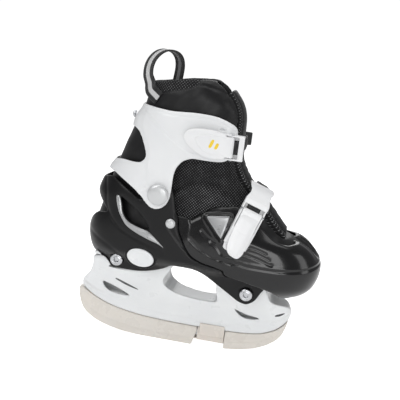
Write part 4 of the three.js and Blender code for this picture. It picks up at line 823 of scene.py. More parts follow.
def holder():
    g = Grid((-110, -31, 19), (131, 31, 98), 0.85)
    d = hull_field(g)
    side = poly2(g, HULL_SIDE, 2)
    x2, z2 = g.ax[0][:, None], g.ax[2][None, :]
    win = poly2(g, [[-2, 96], [-2, 92], [-12.5, 75], [-10, 66], [2, 59], [24, 55.4], [44, 55.4], [48, 58], [44.5, 76], [47, 104], [47, 115], [-2, 115]], 2)
    s_r = poly2(g, [[-80, 60], [-70, 56], [-60, 51.5], [-49, 45], [-56, 44.2], [-66, 45], [-74, 47.5], [-79, 53]], 2)
    s_f = poly2(g, [[66.5, 51.5], [72, 49], [83, 45.6], [97, 43.6], [88, 41], [80, 41], [73, 44]], 2)
    rel = 0.8 * np.exp(-np.maximum(win, 0) / 2.6) + 0.7 * np.exp(-np.maximum(s_r, 0) / 1.8) + 0.7 * np.exp(-np.maximum(s_f, 0) / 1.8)
    rel = rel + 0.7 * np.exp(-np.maximum(-side, 0) / 2.0)
    rel = rel + grooves(g, [[[-78, 76], [-71.6, 74.8], [-51.4, 72.6], [-28, 78]]], 1.2, 0.35)
    rel = rel + 0.5 * np.exp(-(line2(g, [[-100, 46], [-70, 37.5], [-30, 31.5], [30, 30], [80, 31.5], [118, 44]], 2) / 2.2) ** 2)
    dd = d + rel[:, None, :].astype(np.float32)
    out = smax(dd, side[:, None, :], 1.2)
    bel = poly(g, [[-130, -10], [150, -10], [150, 84], [97, 84], [45, 88.6], [30, 92], [-12, 95.2], [-130, 95.2]], 0)
    out = smax(out, bel, 0.6)
    lift = poly(g, [[-84, 90], [-84, 66], [-96, 54], [-80, 44], [-40, 39], [40, 37], [96, 38], [112, 43], [117.5, 50], [117.5, 57], [110, 61], [102, 63.5], [98, 69], [95.5, 79], [88, 90], [88, 120], [-84, 120]], 1)
    hollow = smax(d + 2.8, lift, 2.0)
    body = smax(out, -hollow, 0.8)
    dk = smax(d + 1.2, np.maximum(poly(g, [[-89, 92.0], [-6, 92.0], [-6, 95.2], [-89, 95.2]], 0), -1e9), 0.4)
    df = smax(d + 1.2, poly(g, [[47, 85], [97, 80.2], [97, 84], [47, 88.3]], 0), 0.4)
    body = smin(body, smin(dk, df, 0.2), 1.2)
    for p in (BOLT_REAR, BOLT_FRONT):
        b = smax(rodf(g, 7.2, *p), smax(d + 0.8, bel, 0.3), 0.4)
        body = smin(body, b, 1.0)
    ring = smax(d + 0.8, np.abs(win[:, None, :] - 1.5) - 1.5, 0.4)
    body = smin(body, ring, 0.8)
    for q in (win, s_r, s_f):
        body = smax(body, -q[:, None, :], 1.0)
    for p in (BOLT_REAR, BOLT_FRONT):
        body = smax(body, -rodf(g, 4.6, *p), 0.3)
    ru = [[x, z - 0.5] for x, z in EDGE] + [[x, z + 12.5] for x, z in reversed(BOTTOM) if -96 < x < 118]
    body = smax(body, -np.maximum(poly(g, ru, 0), np.abs(g.Y) - 1.85), 0.3)
    # relief under the shell's tabs and arms, taken straight from the shell's form
    R = form(g, REAR)
    tabs = [[-110, 91.2], [-97, 93.2], [-80.5, 89], [-75.6, 80.2], [-50, 79.2], [-34, 80.7], [-20, 84.7], [-8.6, 89.8], [-3.6, 94.4], [10, 95.2], [21, 94.4], [31.6, 89.3], [42.5, 82.4], [59.4, 72], [70.6, 64.9], [80, 63.2], [88.6, 68.9], [93.1, 78.7], [96.8, 84], [96.8, 104], [-110, 104]]
    body = smax(body, -smax(smax(R - 0.45, -(R + SHELL_T + 0.5), 0.3), poly(g, tabs, 2) - 0.2, 0.4), 0.5)
    # generic graphic: a tapered dash near the heel and a short one near the toe, outer faces only
    m1 = poly2(g, [[-65, 65.5], [-64.5, 67.6], [-50, 61.2], [-38.5, 55.6], [-39, 54.8], [-52, 58.6]], 1)
    m2 = poly2(g, [[110.5, 49.5], [111.5, 52], [121, 55.4], [121.5, 54.3], [116, 50.4]], 1)
    mk = np.minimum(m1, m2)
    o = skin(g, body, "holder_moulding", {"mark": lambda P: np.where(P[:, 1] < 0, sample2(g, mk, P), 5.0)})
    finish(o, HOLDER_WHITE, "chassis", "white_plastic", "blade_holder")


# ------------------------------------------------------------------ blade guard
SOLE = [[-110, 44], [-109, 34], [-104, 22.5], [-98, 15.5], [-88, 9.6], [-74, 5], [-56, 1.6], [-40, 0.3], [-30, 0], [38, 0], [62, 1.8], [78, 3.8], [94, 7.6], [107, 13.5], [116, 20.5], [121.5, 28], [124.5, 36], [126.5, 44.5]]


def guard():
    g = Grid((-113, -11, -2), (129, 11, 48), 0.7)
    lip = [[x, z - 0.5] for x, z in BOTTOM]
    side2 = poly2(g, SOLE + lip[::-1], 1)
    z = g.ax[2].astype(float)
    off = tab([[-6, 2.6], [3.2, 2.6], [7, 1.9], [13, 0.9], [20, 0.5], [60, 0.4]], z, 1.5)
    hw = 6.4 + off
    X = g.X
    e = np.maximum(np.maximum(-101 - X, X - 117), 0) / (9.2 + off[None, None, :])
    r = np.sqrt(e ** 2 + (np.abs(g.Y) / hw[None, None, :]) ** 2)
    pl = (r - 1) * hw[None, None, :] * np.where(e > 0, 1.15, 1)
    x2, z2 = g.ax[0][:, None], g.ax[2][None, :]
    rel = 0.35 * np.exp(-(line2(g, [[-104, 30], [-90, 19], [-70, 12.5], [-40, 8.4], [0, 7.4], [60, 8], [95, 14], [117, 29]], 2) / 1.6) ** 2)
    rel = rel + grooves(g, [[[-16.8, 11.5], [-14.9, 3.8], [-6.4, 1.4], [12, 2.2], [24, 4.5]]], 0.9, 0.35)
    body = smax(side2[:, None, :], pl + rel[:, None, :], 1.5)
    ch = [[x + (-0.8 if x < -60 else 0.8 if x > 90 else 0), zz - 0.6] for x, zz in EDGE] + [[122.2, 60], [-104, 60]]
    channel = np.maximum(poly(g, ch, 0), np.abs(g.Y) - 2.1)
    body = smax(body, -channel, 0.4)
    cutr = poly(g, [[23.5, -3], [29, 16.5], [29, 30], [60, 40], [60, -3]], 0)
    R = smax(smax(body, X - 29, 0.8), -cutr, 0.8)
    R = smax(R, -np.maximum(np.maximum(14.4 - X, np.abs(g.Y) - 5.1), np.abs(g.Z - 6.85) - 1.35), 0.2)
    F = smax(body, 60 - X, 0.8)
    F = smax(F, -np.maximum(np.maximum(X - 87.5, np.abs(g.Y) - 5.1), np.abs(g.Z - 6.85) - 1.35), 0.2)
    o = skin(g, R, "guard_rear_moulding", {"mark": lambda P: np.full(len(P), 5.0)})
    finish(o, GUARD, "guard_rear", "guard_cream", "guard_rear_half")
    o = skin(g, F, "guard_front_moulding", {"mark": lambda P: np.full(len(P), 5.0)})
    finish(o, GUARD, "guard_front", "guard_cream", "guard_front_half")
    h = Grid((13, -11, 3), (88, 11, 29), 0.5)

    def bx(x0, x1, y, z0, z1, k=0.8):
        return smax(smax(np.abs(h.X - (x0 + x1) / 2) - (x1 - x0) / 2, np.abs(h.Y) - y, k), np.abs(h.Z - (z0 + z1) / 2) - (z1 - z0) / 2, k)

    L = smin(bx(29.4, 59.6, 6.2, 6.0, 20.6, 1.0), bx(15, 86, 4.6, 6.0, 7.7, 0.5), 0.5)
    chl = np.maximum(poly(h, ch, 0), np.abs(h.Y) - 2.1)
    L = smax(L, -np.minimum(chl, np.maximum(np.abs(h.Y) - 2.1, 9.7 - h.Z)), 0.3)
    cl = smax(bx(31.5, 59.6, 8.9, 13, 27, 1.2), -smax(np.abs(h.Y) - np.where(h.Z > 17.55, 7.75, 5.6), 9 - h.Z, 0.2), 0.4)
    L = smin(L, cl, 0.5)
    o = skin(h, L, "guard_link_moulding", {"mark": lambda P: np.full(len(P), 5.0)})
    finish(o, LINK, "guard_rear", "guard_cream", "guard_link_clip")


# ------------------------------------------------------------------ padded liner, tongue, insole
def perimeter(F, g):
    x, z = g.ax[0].astype(float), g.ax[2].astype(float)
    xr, xf, Lr, Lf, hw = (tab(F[k], z, 2.5)[None, :] for k in ("xr", "xf", "Lr", "Lf", "hw"))
    fx = tab(F["fx"], x, 4)[:, None]
    fit = np.minimum(1, 0.9 * (xf - xr) / (Lr + Lf))
    Lr, Lf = Lr * fit, Lf * fit
    X = x[:, None]
    u = np.clip(np.maximum(np.maximum((xr + Lr - X) / Lr, (X - (xf - Lf)) / Lf), 0), 0, 1)
    y = hw * fx * (1 - u ** F["n"]) ** (1 / F["n"])
    s = np.cumsum(np.hypot(np.gradient(y, axis=0), g.h), axis=0)
    i0 = int((0 - g.lo[0]) / g.h)
    return (s - s[i0:i0 + 1]).astype(np.float32)


def uvattr(F, g, panel, bright):
    s = perimeter(F, g)
    return {"pu": lambda P: sample2(g, s, P), "pv": lambda P: P[:, 2], "mesh": panel, "bright": bright}


def liner():
    g = Grid((-101, -45, 80), (146, 45, 294), 1.15)
    d = form(g, LINER)
    x2, z2 = g.ax[0][:, None], g.ax[2][None, :]
    rel = np.zeros((len(g.ax[0]), len(g.ax[2])), np.float32)
    roll = [[-9.7, 166], [-2.2, 173.5], [8, 178], [19, 180.3], [32, 179.5], [41, 174]]
    rel -= 2.6 * np.exp(-(line2(g, roll, 2) / 6.5) ** 2)
    rel += 2.4 * np.exp(-(line2(g, [[-12, 172], [-2.2, 181], [8, 186], [20, 188.5], [33, 187.8], [44, 181]], 2) / 2.6) ** 2)
    rel += 1.3 * np.exp(-(line2(g, [[29.8, 213], [29.3, 200.3], [31.4, 192.3], [35.1, 186.7]], 2) / 2.2) ** 2)
    rel -= 1.3 * np.exp(-((x2 - 12) / 15) ** 2 - ((z2 - 199) / 8) ** 2)
    # collar: padded swell, top binding and the seam of the mesh patch
    top = np.interp(g.ax[0], [-60, -40, -12, 10, 26, 38, 47, 54], [282, 284.4, 288.2, 290, 286, 280, 273, 262])[:, None]
    rel -= 1.5 * np.exp(-((top - z2 - 17) / 9.0) ** 2) * sstep(-50, -20, x2)
    rel += 1.0 * np.exp(-((top - z2 - 6.2) / 1.1) ** 2)
    patch = [[-60, 262], [-44.8, 268.4], [-30, 273], [-12.2, 277.3], [-3.5, 280.3], [3.3, 284.7], [8, 294], [-60, 294]]
    pat2 = poly2(g, patch, 1)
    rel += 0.8 * np.exp(-(pat2 / 1.0) ** 2)
    # gentle creases of the soft cover
    wr = np.sin(x2 * 0.21 + z2 * 0.13) * np.sin(z2 * 0.17 - x2 * 0.07 + 1.3) + 0.6 * np.sin(x2 * 0.43 - z2 * 0.29 + 0.4)
    rel += (0.22 * wr).astype(np.float32)
    d2 = d + rel[:, None, :]
    fl = np.interp(g.ax[0], [-130, 30, 50, 70, 80, 119, 126, 133.5, 160], [99.2, 99.2, 98.2, 97.6, 97, 92.6, 89.6, 84.6, 84.6]).astype(np.float32)[:, None, None]
    body = smax(d2, fl - g.Z, 6)
    T = np.interp(g.ax[2], [150, 175], [6, 8]).astype(np.float32)[None, None, :]
    cav = smax(d + T, fl + 6.2 - g.Z, 5)
    sh = smax(body, -cav, 4.0)
    tp = np.interp(g.ax[0], [-60, -40, -12, 10, 120], [281, 283, 288, 290, 287.5]).astype(np.float32)[:, None, None]
    sh = smax(sh, g.Z - tp, 6.5)
    th = poly(g, [[20, 148], [60, 148], [104, 138.5], [160, 138.5], [160, 320], [20, 320]], 0)
    sh = smax(sh, -smax(th, np.abs(g.Y) - 19.6, 2), 2.5)
    mesh_zone = poly2(g, [[-16, 226], [-12, 206], [-13, 190], [-14, 150], [10, 138], [60, 130], [70, 170], [64, 186], [52, 206], [44, 226]], 1)
    leather = np.minimum(np.maximum(mesh_zone, -0), np.abs(mesh_zone)) * 0
    field = np.minimum(mesh_zone, pat2)
    light = poly2(g, [[-12, 158], [-14, 168], [-2.2, 178], [8, 184], [20, 187], [33, 186], [48, 176], [66, 150], [50, 140], [0, 140]], 1)
    o = skin(g, sh, "liner_boot", uvattr(LINER, g, lambda P: sample2(g, field, P), lambda P: np.clip(0.5 - sample2(g, light, P) / 3.0, 0.25, 1)))
    finish(o, LINER_MAT, None, "liner_fabric", "liner_foot", "liner_collar", blend=("chassis", "cuff_assembly", (0, 0, 0.166), (0, 0, 0.208)), pad=0.8)


def tongue():
    g = Grid((16, -22, 134), (110, 22, 292), 0.85)
    d = form(g, LINER)
    x2, z2 = g.ax[0][:, None], g.ax[2][None, :]
    rel = np.zeros((len(g.ax[0]), 1, len(g.ax[2])), np.float32)
    for k in range(9):
        zc = 168 + 5.2 * k
        rel += (0.55 * np.exp(-((z2 - zc + 0.25 * (x2 - 60)) / 1.1) ** 2) * sstep(150, 165, z2) * (1 - sstep(206, 216, z2)))[:, None, :]
    rel = rel + (0.18 * np.sin(x2 * 0.33 + z2 * 0.21))[:, None, :].astype(np.float32)
    y = np.abs(g.Y)
    seam = 0.9 * np.exp(-((y - 13.4) / 0.9) ** 2)
    crown = -0.9 * (1 - (y / 19) ** 2)
    d2 = d - 1.3 + rel * (1 - sstep(11.5, 13.2, y)) + seam * 0.8 + crown * 0.6
    sh = smax(smax(d2, -(d + 5.2), 3.0), y - 19, 2.6)
    low = poly(g, [[60, 148.6], [104, 139.2], [125, 139.2], [125, 289], [20, 289], [20, 148.6]], 1)
    sh = smax(sh, low, 2.5)
    sh = smax(sh, 20.5 - g.X, 1)
    o = skin(g, sh, "tongue_pad", {"pu": lambda P: P[:, 1] * 1.0 + 0.0 * P[:, 0], "pv": lambda P: P[:, 2] * 1.15,
                                   "mesh": lambda P: (13.4 - np.abs(P[:, 1])) * 1.0, "bright": lambda P: np.clip(1 - np.abs(P[:, 2] - 190) / 60, 0.3, 1)})
    finish(o, TONGUE_MAT, None, "collar_leather", "tongue_lower", "tongue_upper", blend=("chassis", "cuff_assembly", (0, 0, 0.170), (0, 0, 0.214)), pad=0.7)


def insole():
    g = Grid((-92, -38, 93), (138, 38, 112), 1.0)
    d = form(g, LINER, -7.6)
    q = smax(smax(d, poly(g, [[-130, 105.8], [30, 105.8], [50, 104.6], [80, 103.6], [119, 99.4], [136, 97.5], [136, 100.8], [119, 102.6], [50, 107.8], [-130, 109.2]], 0), 1.6), -1e3 + 0 * g.X, 1)
    o = skin(g, q, "insole_pad", {"pu": lambda P: P[:, 0], "pv": lambda P: P[:, 1], "mesh": lambda P: np.full(len(P), -2.0), "bright": lambda P: np.full(len(P), 0.2)})
    finish(o, LINER_MAT, "chassis", "insole_foam", "insole", pad=0.9)


# ------------------------------------------------------------------ ratchet buckles (local x to the strap's entry, -y outwards)
AO, AR = np.array((27, -45.3, 229.0)), (np.array((1.0, 0, 0)), np.array((0, 1.0, 0)), np.array((0, 0, 1.0)))
IR = (IU, IY, IZ)


def lplan(g, p, n=2):  # outline in local x and z, constant along y
    return poly(g, p, n)


def lbox(g, x0, x1, y0, y1, z, k=0.5):
    return smax(smax(np.abs(g.X - (x0 + x1) / 2) - (x1 - x0) / 2, np.abs(g.Z) - z, k), np.abs(g.Y - (y0 + y1) / 2) - (y1 - y0) / 2, k)


def lrod(g, r, x, y):
    return np.sqrt((g.X - x) ** 2 + (g.Y - y) ** 2) - r


def buckle(tag, o, R, body, lever_body, pawl_body):
    g = Grid((-31, -10.5, -15.5), (37, 1.5, 15.5), 0.38) if tag == "ankle" else Grid((-31, -10.5, -15.5), (50, 17, 15.5), 0.42)
    plate = smax(lplan(g, [[-27, 8], [-24, 11.4], [29, 11.4], [29, -11.4], [-24, -11.4], [-27, -8]], 2), np.abs(g.Y + 0.75) - 0.75, 0.5)
    rail = [[3, 0], [30.2, 0], [30.2, -7.6], [23, -8.0], [21.5, -8.3], [15, -8.3], [13.4, -6.6], [8, -4.6], [3, -3.2]]
    if tag == "instep":
        rail = [[-20, 0], *rail[1:6], [12, -7.9], [0, -7.4], [-12, -6.0], [-20, -3.0]]
    prof = seg2(g.ax[0][:, None].astype(float), g.ax[1][None, :].astype(float), chaikin(rail, 2), True)[:, :, None]
    cheeks = smax(prof, np.abs(g.Z) - 12.4, 0.9)
    cheeks = smax(cheeks, -smax(smax(np.abs(g.Z) - 10.7, g.Y + 1.4, 0.4), -1 - g.X, 0.4), 0.5)
    bridge = lbox(g, 24.8, 30.2, -8.0, -5.7, 12.2, 0.9)
    base = smin(smin(plate, cheeks, 0.6), bridge, 0.6)
    if tag == "instep":  # moulded loop past the bridge that guides the strap over the instep
        mid = chaikin([[26, -6.6], [33, -6.2], [38.5, -3.6], [43, 1.5], [45.6, 8], [46.4, 14]], 2, False)
        arc = seg2(g.ax[0][:, None].astype(float), g.ax[1][None, :].astype(float), mid, False)[:, :, None] - 1.25
        w = np.interp(g.ax[0], [26, 31, 36, 40, 43, 60], [12.4, 12.6, 10.9, 10.9, 12.9, 12.9])[:, None, None]
        lug = smax(arc, np.abs(g.Z) - w, 0.9)
        lug = smax(lug, 25.5 - g.X, 0.5)
        base = smin(base, lug, 1.4)
    base = smax(base, -lrod(g, 2.0, 18, -6.1), 0.25)
    base = smax(base, -lrod(g, 1.35, 8, -5.0), 0.25)
    for x in (-21, -8):
        r = np.sqrt((g.X - x) ** 2 + g.Z ** 2)
        base = smax(base, -(r - 2.4), 0.2)
        base = smax(base, -smax(r - 3.7, g.Y + 0.8, 0.2), 0.2)
    base = smax(base, -smax(np.abs(g.X - 15) - 9.0, smax(np.abs(g.Z - 15.4) - 3.55, np.abs(g.Y + 4.0) - 1.0, 0.4), 0.4), 0.4)
    ob = skin(g, base, tag + "_buckle_frame", {"mark": lambda P: np.full(len(P), 5.0)}, place=(o, R))
    finish(ob, BUCKLE_WHITE, body, "buckle_white", tag + "_buckle_base")

    g = Grid((-33, -12.5, -16.5), (22, -1.5, 16.5), 0.36)
    if tag == "ankle":
        edge = [[-30, 5.5], [-27.5, 10.5], [-22, 13.6], [-12, 14.8], [2, 14.4], [13.6, 12.3], [13.6, -12.3], [5, -13.6], [-8, -12.4], [-19, -7.5], [-27, -0.5]]
        inner = [[-19, 4.0], [-15, 8.8], [-4, 10.8], [8, 9.6], [18.4, 9.4], [18.4, -9.2], [8, -9.4], [-4, -9.0], [-13, -4.0]]
    else:
        edge = [[-30, -6.8], [-29.6, 1.5], [-26.5, 6.2], [-18, 9.2], [-4, 10.1], [13.6, 10.2], [13.6, -10.2], [2, -10.2], [-12, -10.2], [-25, -9.8]]
        inner = [[-7, 0.5], [-4, 8.6], [6, 9.4], [18.4, 9.2], [18.4, -9.2], [6, -9.4], [-4, -8.6]]
    e2 = poly2(g, edge, 2)
    crown = 0.9 * (1 - np.clip(-e2 / 7.0, 0, 1)) ** 2  # falls away towards the rim
    i2 = poly2(g, inner, 2)
    dish = 0.75 * (1 - sstep(-1.0, 0.5, i2)) if tag == "ankle" else 0.12 * (1 - sstep(-2.5, 0.5, i2))
    top = (-9.35 + crown + dish)[:, None, :]
    lev = smax(smax(e2[:, None, :], top - g.Y, 1.1), g.Y + 6.5, 0.8)
    skirt = smax(smax(e2[:, None, :], -(e2[:, None, :] + 1.8), 0.4), smax(-8.6 - g.Y, g.Y + 4.6, 0.5), 0.6)
    skirt = smax(skirt, g.X - 4, 1.5)
    lev = smin(lev, skirt, 0.6)
    neck = lbox(g, 10, 18.4, -8.35, -6.4, 10.2, 0.6)
    lev = smin(lev, smin(neck, smax(lrod(g, 2.25, 18, -6.1), np.abs(g.Z) - 10.2, 0.4), 0.4), 0.4)
    # the rim stays clear of the raised cheeks
    lev = smax(lev, -smax(smax(13.9 - g.X, 10.45 - np.abs(g.Z), 0.2), -9.9 - g.Y, 0.2), 0.3)
    lev = smax(lev, -lrod(g, 1.85, 18, -6.1), 0.2)
    m = np.minimum(poly2(g, [[-4.6, -2.4], [-1.6, -3.0], [1.4, 5.2], [-1.4, 5.8]], 1), poly2(g, [[1.2, -3.0], [4.2, -3.6], [6.2, 2.2], [3.4, 2.8]], 1))
    ol = skin(g, lev, tag + "_buckle_handle", {"mark": (lambda P: np.where(P[:, 1] < -8.0, sample2(g, m, P), 5.0)) if tag == "ankle" else (lambda P: np.full(len(P), 5.0))}, place=(o, R))
    finish(ol, BUCKLE_WHITE, lever_body, "buckle_white", tag + "_buckle_lever")

    g = Grid((-3, -7.5, -12), (12, -2, 12), 0.3)
    pw = smin(lbox(g, -1, 8, -5.4, -4.0, 8.2, 0.4), smax(lrod(g, 1.15, 8, -5.0), np.abs(g.Z) - 10.2, 0.3), 0.4)
    for k in range(3):
        pw = smin(pw, smax(lbox(g, -1 + 1.6 * k, 0.1 + 1.6 * k, -4.4, -3.75, 5, 0.2), -g.Y - 4.6, 0.2), 0.3)
    pw = smin(pw, smax(lbox(g, 6, 10, -6.1, -3.9, 10.2, 0.4), 8.4 - g.Z, 0.2), 0.3)
    pw = smax(pw, -lrod(g, 0.75, 8, -5.0), 0.1)
    op = skin(g, pw, tag + "_pawl_moulding", {"mark": lambda P: np.full(len(P), 5.0)}, place=(o, R))
    finish(op, BUCKLE_WHITE, pawl_body, "buckle_white", tag + "_release_pawl")


# ------------------------------------------------------------------ bands: ladder straps and pull loop
def resample(P, step):
    P = np.array(P, float)
    Q = np.vstack([2 * P[0] - P[1], P, 2 * P[-1] - P[-2]])
    out = []
    for i in range(1, len(Q) - 2):
        a, b, c, d = Q[i - 1:i + 3]
        n = 24
        for t in np.linspace(0, 1, n, endpoint=i == len(Q) - 3):
            out.append(0.5 * (2 * b + (c - a) * t + (2 * a - 5 * b + 4 * c - d) * t * t + (3 * b - a - 3 * c + d) * t ** 3))
    out = np.array(out)
    s = np.concatenate([[0], np.cumsum(np.linalg.norm(np.diff(out, axis=0), axis=1))])
    n = int(s[-1] / step) + 1
    si = np.linspace(0, s[-1], n)
    return np.column_stack([np.interp(si, s, out[:, k]) for k in range(out.shape[1])]), si


def sweep(name, path, wdir, width, thick, top, bottom, edge, step, nt=20, round_end=True):
    """Closed band swept along path. top(s, t) and bottom(s, t) add to the two faces; t runs -1..1 across."""
    n0 = len(path)
    PW, s = resample(np.hstack([np.array(path, float), np.array(wdir, float)]), step)
    P, W = PW[:, :3], PW[:, 3:6]
    T = np.gradient(P, axis=0)
    T /= np.linalg.norm(T, axis=1)[:, None]
    W = W - (W * T).sum(1)[:, None] * T
    W /= np.linalg.norm(W, axis=1)[:, None]
    Nn = np.cross(T, W)
    t = np.linspace(-1, 1, nt)
    L = s[-1]
    cap = np.ones(len(s))
    if round_end:
        e = np.minimum(s, L - s) / (width / 2)
        cap = np.sqrt(np.clip(1 - (1 - np.clip(e, 0, 1)) ** 2, 0.03, 1))
    rings, S_, T_, F_ = [], [], [], []
    for side in (1, -1):
        tt = t if side > 0 else t[::-1]
        round_ = np.sqrt(np.clip(1 - np.clip((np.abs(tt) - 0.88) / 0.12, 0, 1) ** 2, 0, 1))
        fn = top if side > 0 else bottom
        h = side * (thick / 2 * round_[None, :] * np.ones((len(s), 1)) + fn(s[:, None], tt[None, :]) * round_[None, :])
        V = P[:, None, :] + W[:, None, :] * (tt[None, :, None] * width / 2 * cap[:, None, None]) + Nn[:, None, :] * h[:, :, None]
        rings.append(V[:, (0 if side > 0 else 1):(nt if side > 0 else nt - 1)])
        k = rings[-1].shape[1]
        S_.append(np.repeat(s[:, None], k, 1))
        T_.append(np.repeat((tt if side > 0 else tt[1:-1])[None, :], len(s), 0) * width / 2)
        F_.append(np.full((len(s), k), float(side)))
    V = np.concatenate(rings, 1)
    m = V.shape[1]
    n = len(s)
    idx = np.arange(n * m).reshape(n, m)
    a, b = idx[:-1], np.roll(idx, -1, 1)[:-1]
    c, d = np.roll(idx, -1, 1)[1:], idx[1:]
    Q = np.stack([a, b, c, d], -1).reshape(-1, 4)
    caps = []
    for r, flip in ((0, False), (n - 1, True)):
        for k in range(m // 2 - 1):
            q = [idx[r, k], idx[r, (m - 1 - k) % m], idx[r, (m - 2 - k) % m], idx[r, k + 1]]
            if len(set(q)) == 4:
                caps.append(q[::-1] if flip else q)
    Q = np.vstack([Q, np.array(caps)]) if caps else Q
    o = make(name, V.reshape(-1, 3), Q, None, {"bs": np.concatenate(S_, 1).ravel(), "bt": np.concatenate(T_, 1).ravel(), "bf": np.concatenate(F_, 1).ravel()})
    import bmesh
    bm = bmesh.new()
    bm.from_mesh(o.data)
    bmesh.ops.recalc_face_normals(bm, faces=bm.faces)
    bm.to_mesh(o.data)
    bm.free()
    return o


def lerp(a, b, t):
    return np.array(a) + (np.array(b) - np.array(a)) * t


def tree_of(*names):
    from mathutils.bvhtree import BVHTree
    V, F, k = [], [], 0
    for n in names:
        me = bpy.data.objects[n].data
        co = np.empty(len(me.vertices) * 3, np.float32)
        me.vertices.foreach_get("co", co)
        V.append(co.reshape(-1, 3) * 1000)
        ix = np.empty(len(me.loops), np.int32)
        me.loops.foreach_get("vertex_index", ix)
        F.append(ix.reshape(-1, 4) + k)
        k += len(V[-1])
    return BVHTree.FromPolygons(np.vstack(V).tolist(), np.vstack(F).tolist())


def lay(tree, P, C, W, off):
    """Move P along the line from C so that a 14 mm band there rests off millimetres above the surface."""
    P, C, W = np.array(P, float), np.array(C, float), np.array(W, float)
    d = (P - C) / np.linalg.norm(P - C)
    W = W / np.linalg.norm(W)
    best = 0
    for k in (-6.5, -3, 0, 3, 6.5):
        hit = tree.ray_cast((C + W * k + d * 80).tolist(), (-d).tolist())[0]
        if hit is not None:
            best = max(best, (np.array(hit) - C) @ d)
    return C + d * (best + off) if best > 0 else P


def straps():
    boot = tree_of("tongue_pad", "liner_boot", "cuff_moulding", "toe_shell_moulding")
    at = lambda o, R, x, y: np.array(o) + x * R[0] + y * R[1]
    pa = [at(AO, AR, x, y) for x, y in ((-24, -2.7), (0, -2.7), (24, -2.7), (30, -2.4))]
    pa += [np.array(p, float) for p in ((60.2, -41.5, 229), (62.2, -34, 229), (61.5, -24, 229), (60, -12, 229), (59.5, 0, 229), (60, 12, 229), (61.5, 24, 229), (62.0, 34, 229), (59.4, 40.5, 229), (53, 44.6, 229), (46, 46.0, 229), (36, 46.6, 229), (28, 46.6, 229))]
    wa = [(0, 0, 1)] * len(pa)
    pa[4] = np.array((59.0, -42.6, 229))
    pa[5:12] = [lay(boot, p, (20, p[1] * 0.75, 229), (0, 0, 1), 1.7) for p in pa[5:12]]
    pa[12:14] = [np.array((56.0, 41.6, 229)), np.array((51.3, 44.4, 229))]
    pa[4] = 0.5 * (pa[4] + np.array((pa[5][0] + 1.0, -40.5, 229)))
    pi = [at(IO, IR, x, y) for x, y in ((-24, -2.7), (0, -2.7), (24, -2.7), (31, -2.5), (36, -0.9))]
    pi += [np.array(p, float) for p in ((80.4, -17, 188.6), (81, -8, 190), (81.2, 0, 190.4), (81, 8, 190), (80.4, 17, 188.6))]
    cen = np.array((81.2, 0, 190.4)) - 30 * np.array((0.6, 0, 0.8))
    pi[5:10] = [lay(boot, p, cen + np.array((0, 0.7 * p[1], 0)), (0.8, 0, -0.6), 3.9) for p in pi[5:10]]
    for x, y in ((33, -1.9), (25, -0.9), (12, 0), (0, 0.6), (-8, 0.7), (-18, 0.7)):
        q = at(IO, IR, x, y)
        pi.append(q * np.array((1, -1, 1)))
    wi = []
    for p in pi:
        t = min(1, max(0, (abs(p[1]) - 8) / 24))
        side = -IZ if p[1] < 0 else -IZ * np.array((1, -1, 1))
        wi.append(lerp((0.8, 0, -0.6), side, t))

    def teeth(s, t):
        saw = (s / 3.0) % 1.0
        return 0.55 * np.clip(saw * 1.3, 0, 1) * (saw < 0.86) * sstep(0.72, 0.6, np.abs(t)) + 0.18 * sstep(0.78, 0.86, np.abs(t))

    for tag, P, W, body in (("ankle", pa, wa, "cuff_assembly"), ("instep", pi, wi, "toe_assembly")):
        probe = np.cross(P[1] - P[0], np.array(W[0]))
        outw = np.array((0, -1, 0)) if tag == "ankle" else -IY
        flip = 1 if probe @ outw > 0 else -1
        Wd = [np.array(w, float) * flip for w in W]
        o = sweep(tag + "_ladder_band", P, Wd, 14, 1.5, teeth, lambda s, t: 0 * s * t, None, 0.5, 19)
        finish(o, STRAP, body, "strap_black", tag + "_ladder_strap")


def webbing_mat():
    m, nt, b = nodes_of("loop_webbing")
    s, t, f = attr(nt, "bs"), attr(nt, "bt"), attr(nt, "bf")
    at_ = math_(nt, "ABSOLUTE", t)
    zig = math_(nt, "MULTIPLY", math_(nt, "ABSOLUTE", math_(nt, "SUBTRACT", math_(nt, "FRACT", math_(nt, "MULTIPLY", s, 0.62)), 0.5)), 1.1)
    stripe_o = ramp(nt, math_(nt, "ADD", at_, zig), 2.7, 3.1, 1, 0)
    stripe_i = ramp(nt, at_, 2.0, 2.5, 1, 0)
    out_f = ramp(nt, f, -0.2, 0.2, 0, 1)
    base = mixc(nt, ramp(nt, noise(nt, 500, 2), 0.3, 0.7, 0, 1), (0.0065, 0.0065, 0.007), (0.013, 0.013, 0.014))
    co = mixc(nt, stripe_o, base, (0.62, 0.62, 0.62))
    # inner face: a real stripe, but its darker grey than the outer face's stripe is painted shade
    inner_stripe_painted_shade = mixc(nt, stripe_i, base, (0.2, 0.2, 0.205))
    nt.links.new(mixc(nt, out_f, inner_stripe_painted_shade, co), b.inputs["Base Color"])
    b.inputs["Roughness"].default_value = 0.8
    b.inputs["Sheen Weight"].default_value = 0.15
    w = math_(nt, "MULTIPLY", math_(nt, "SINE", math_(nt, "MULTIPLY", s, 6.3)), math_(nt, "SINE", math_(nt, "MULTIPLY", t, 5.2)))
    bump(nt, b, w, 0.55, 0.0005)
    return m


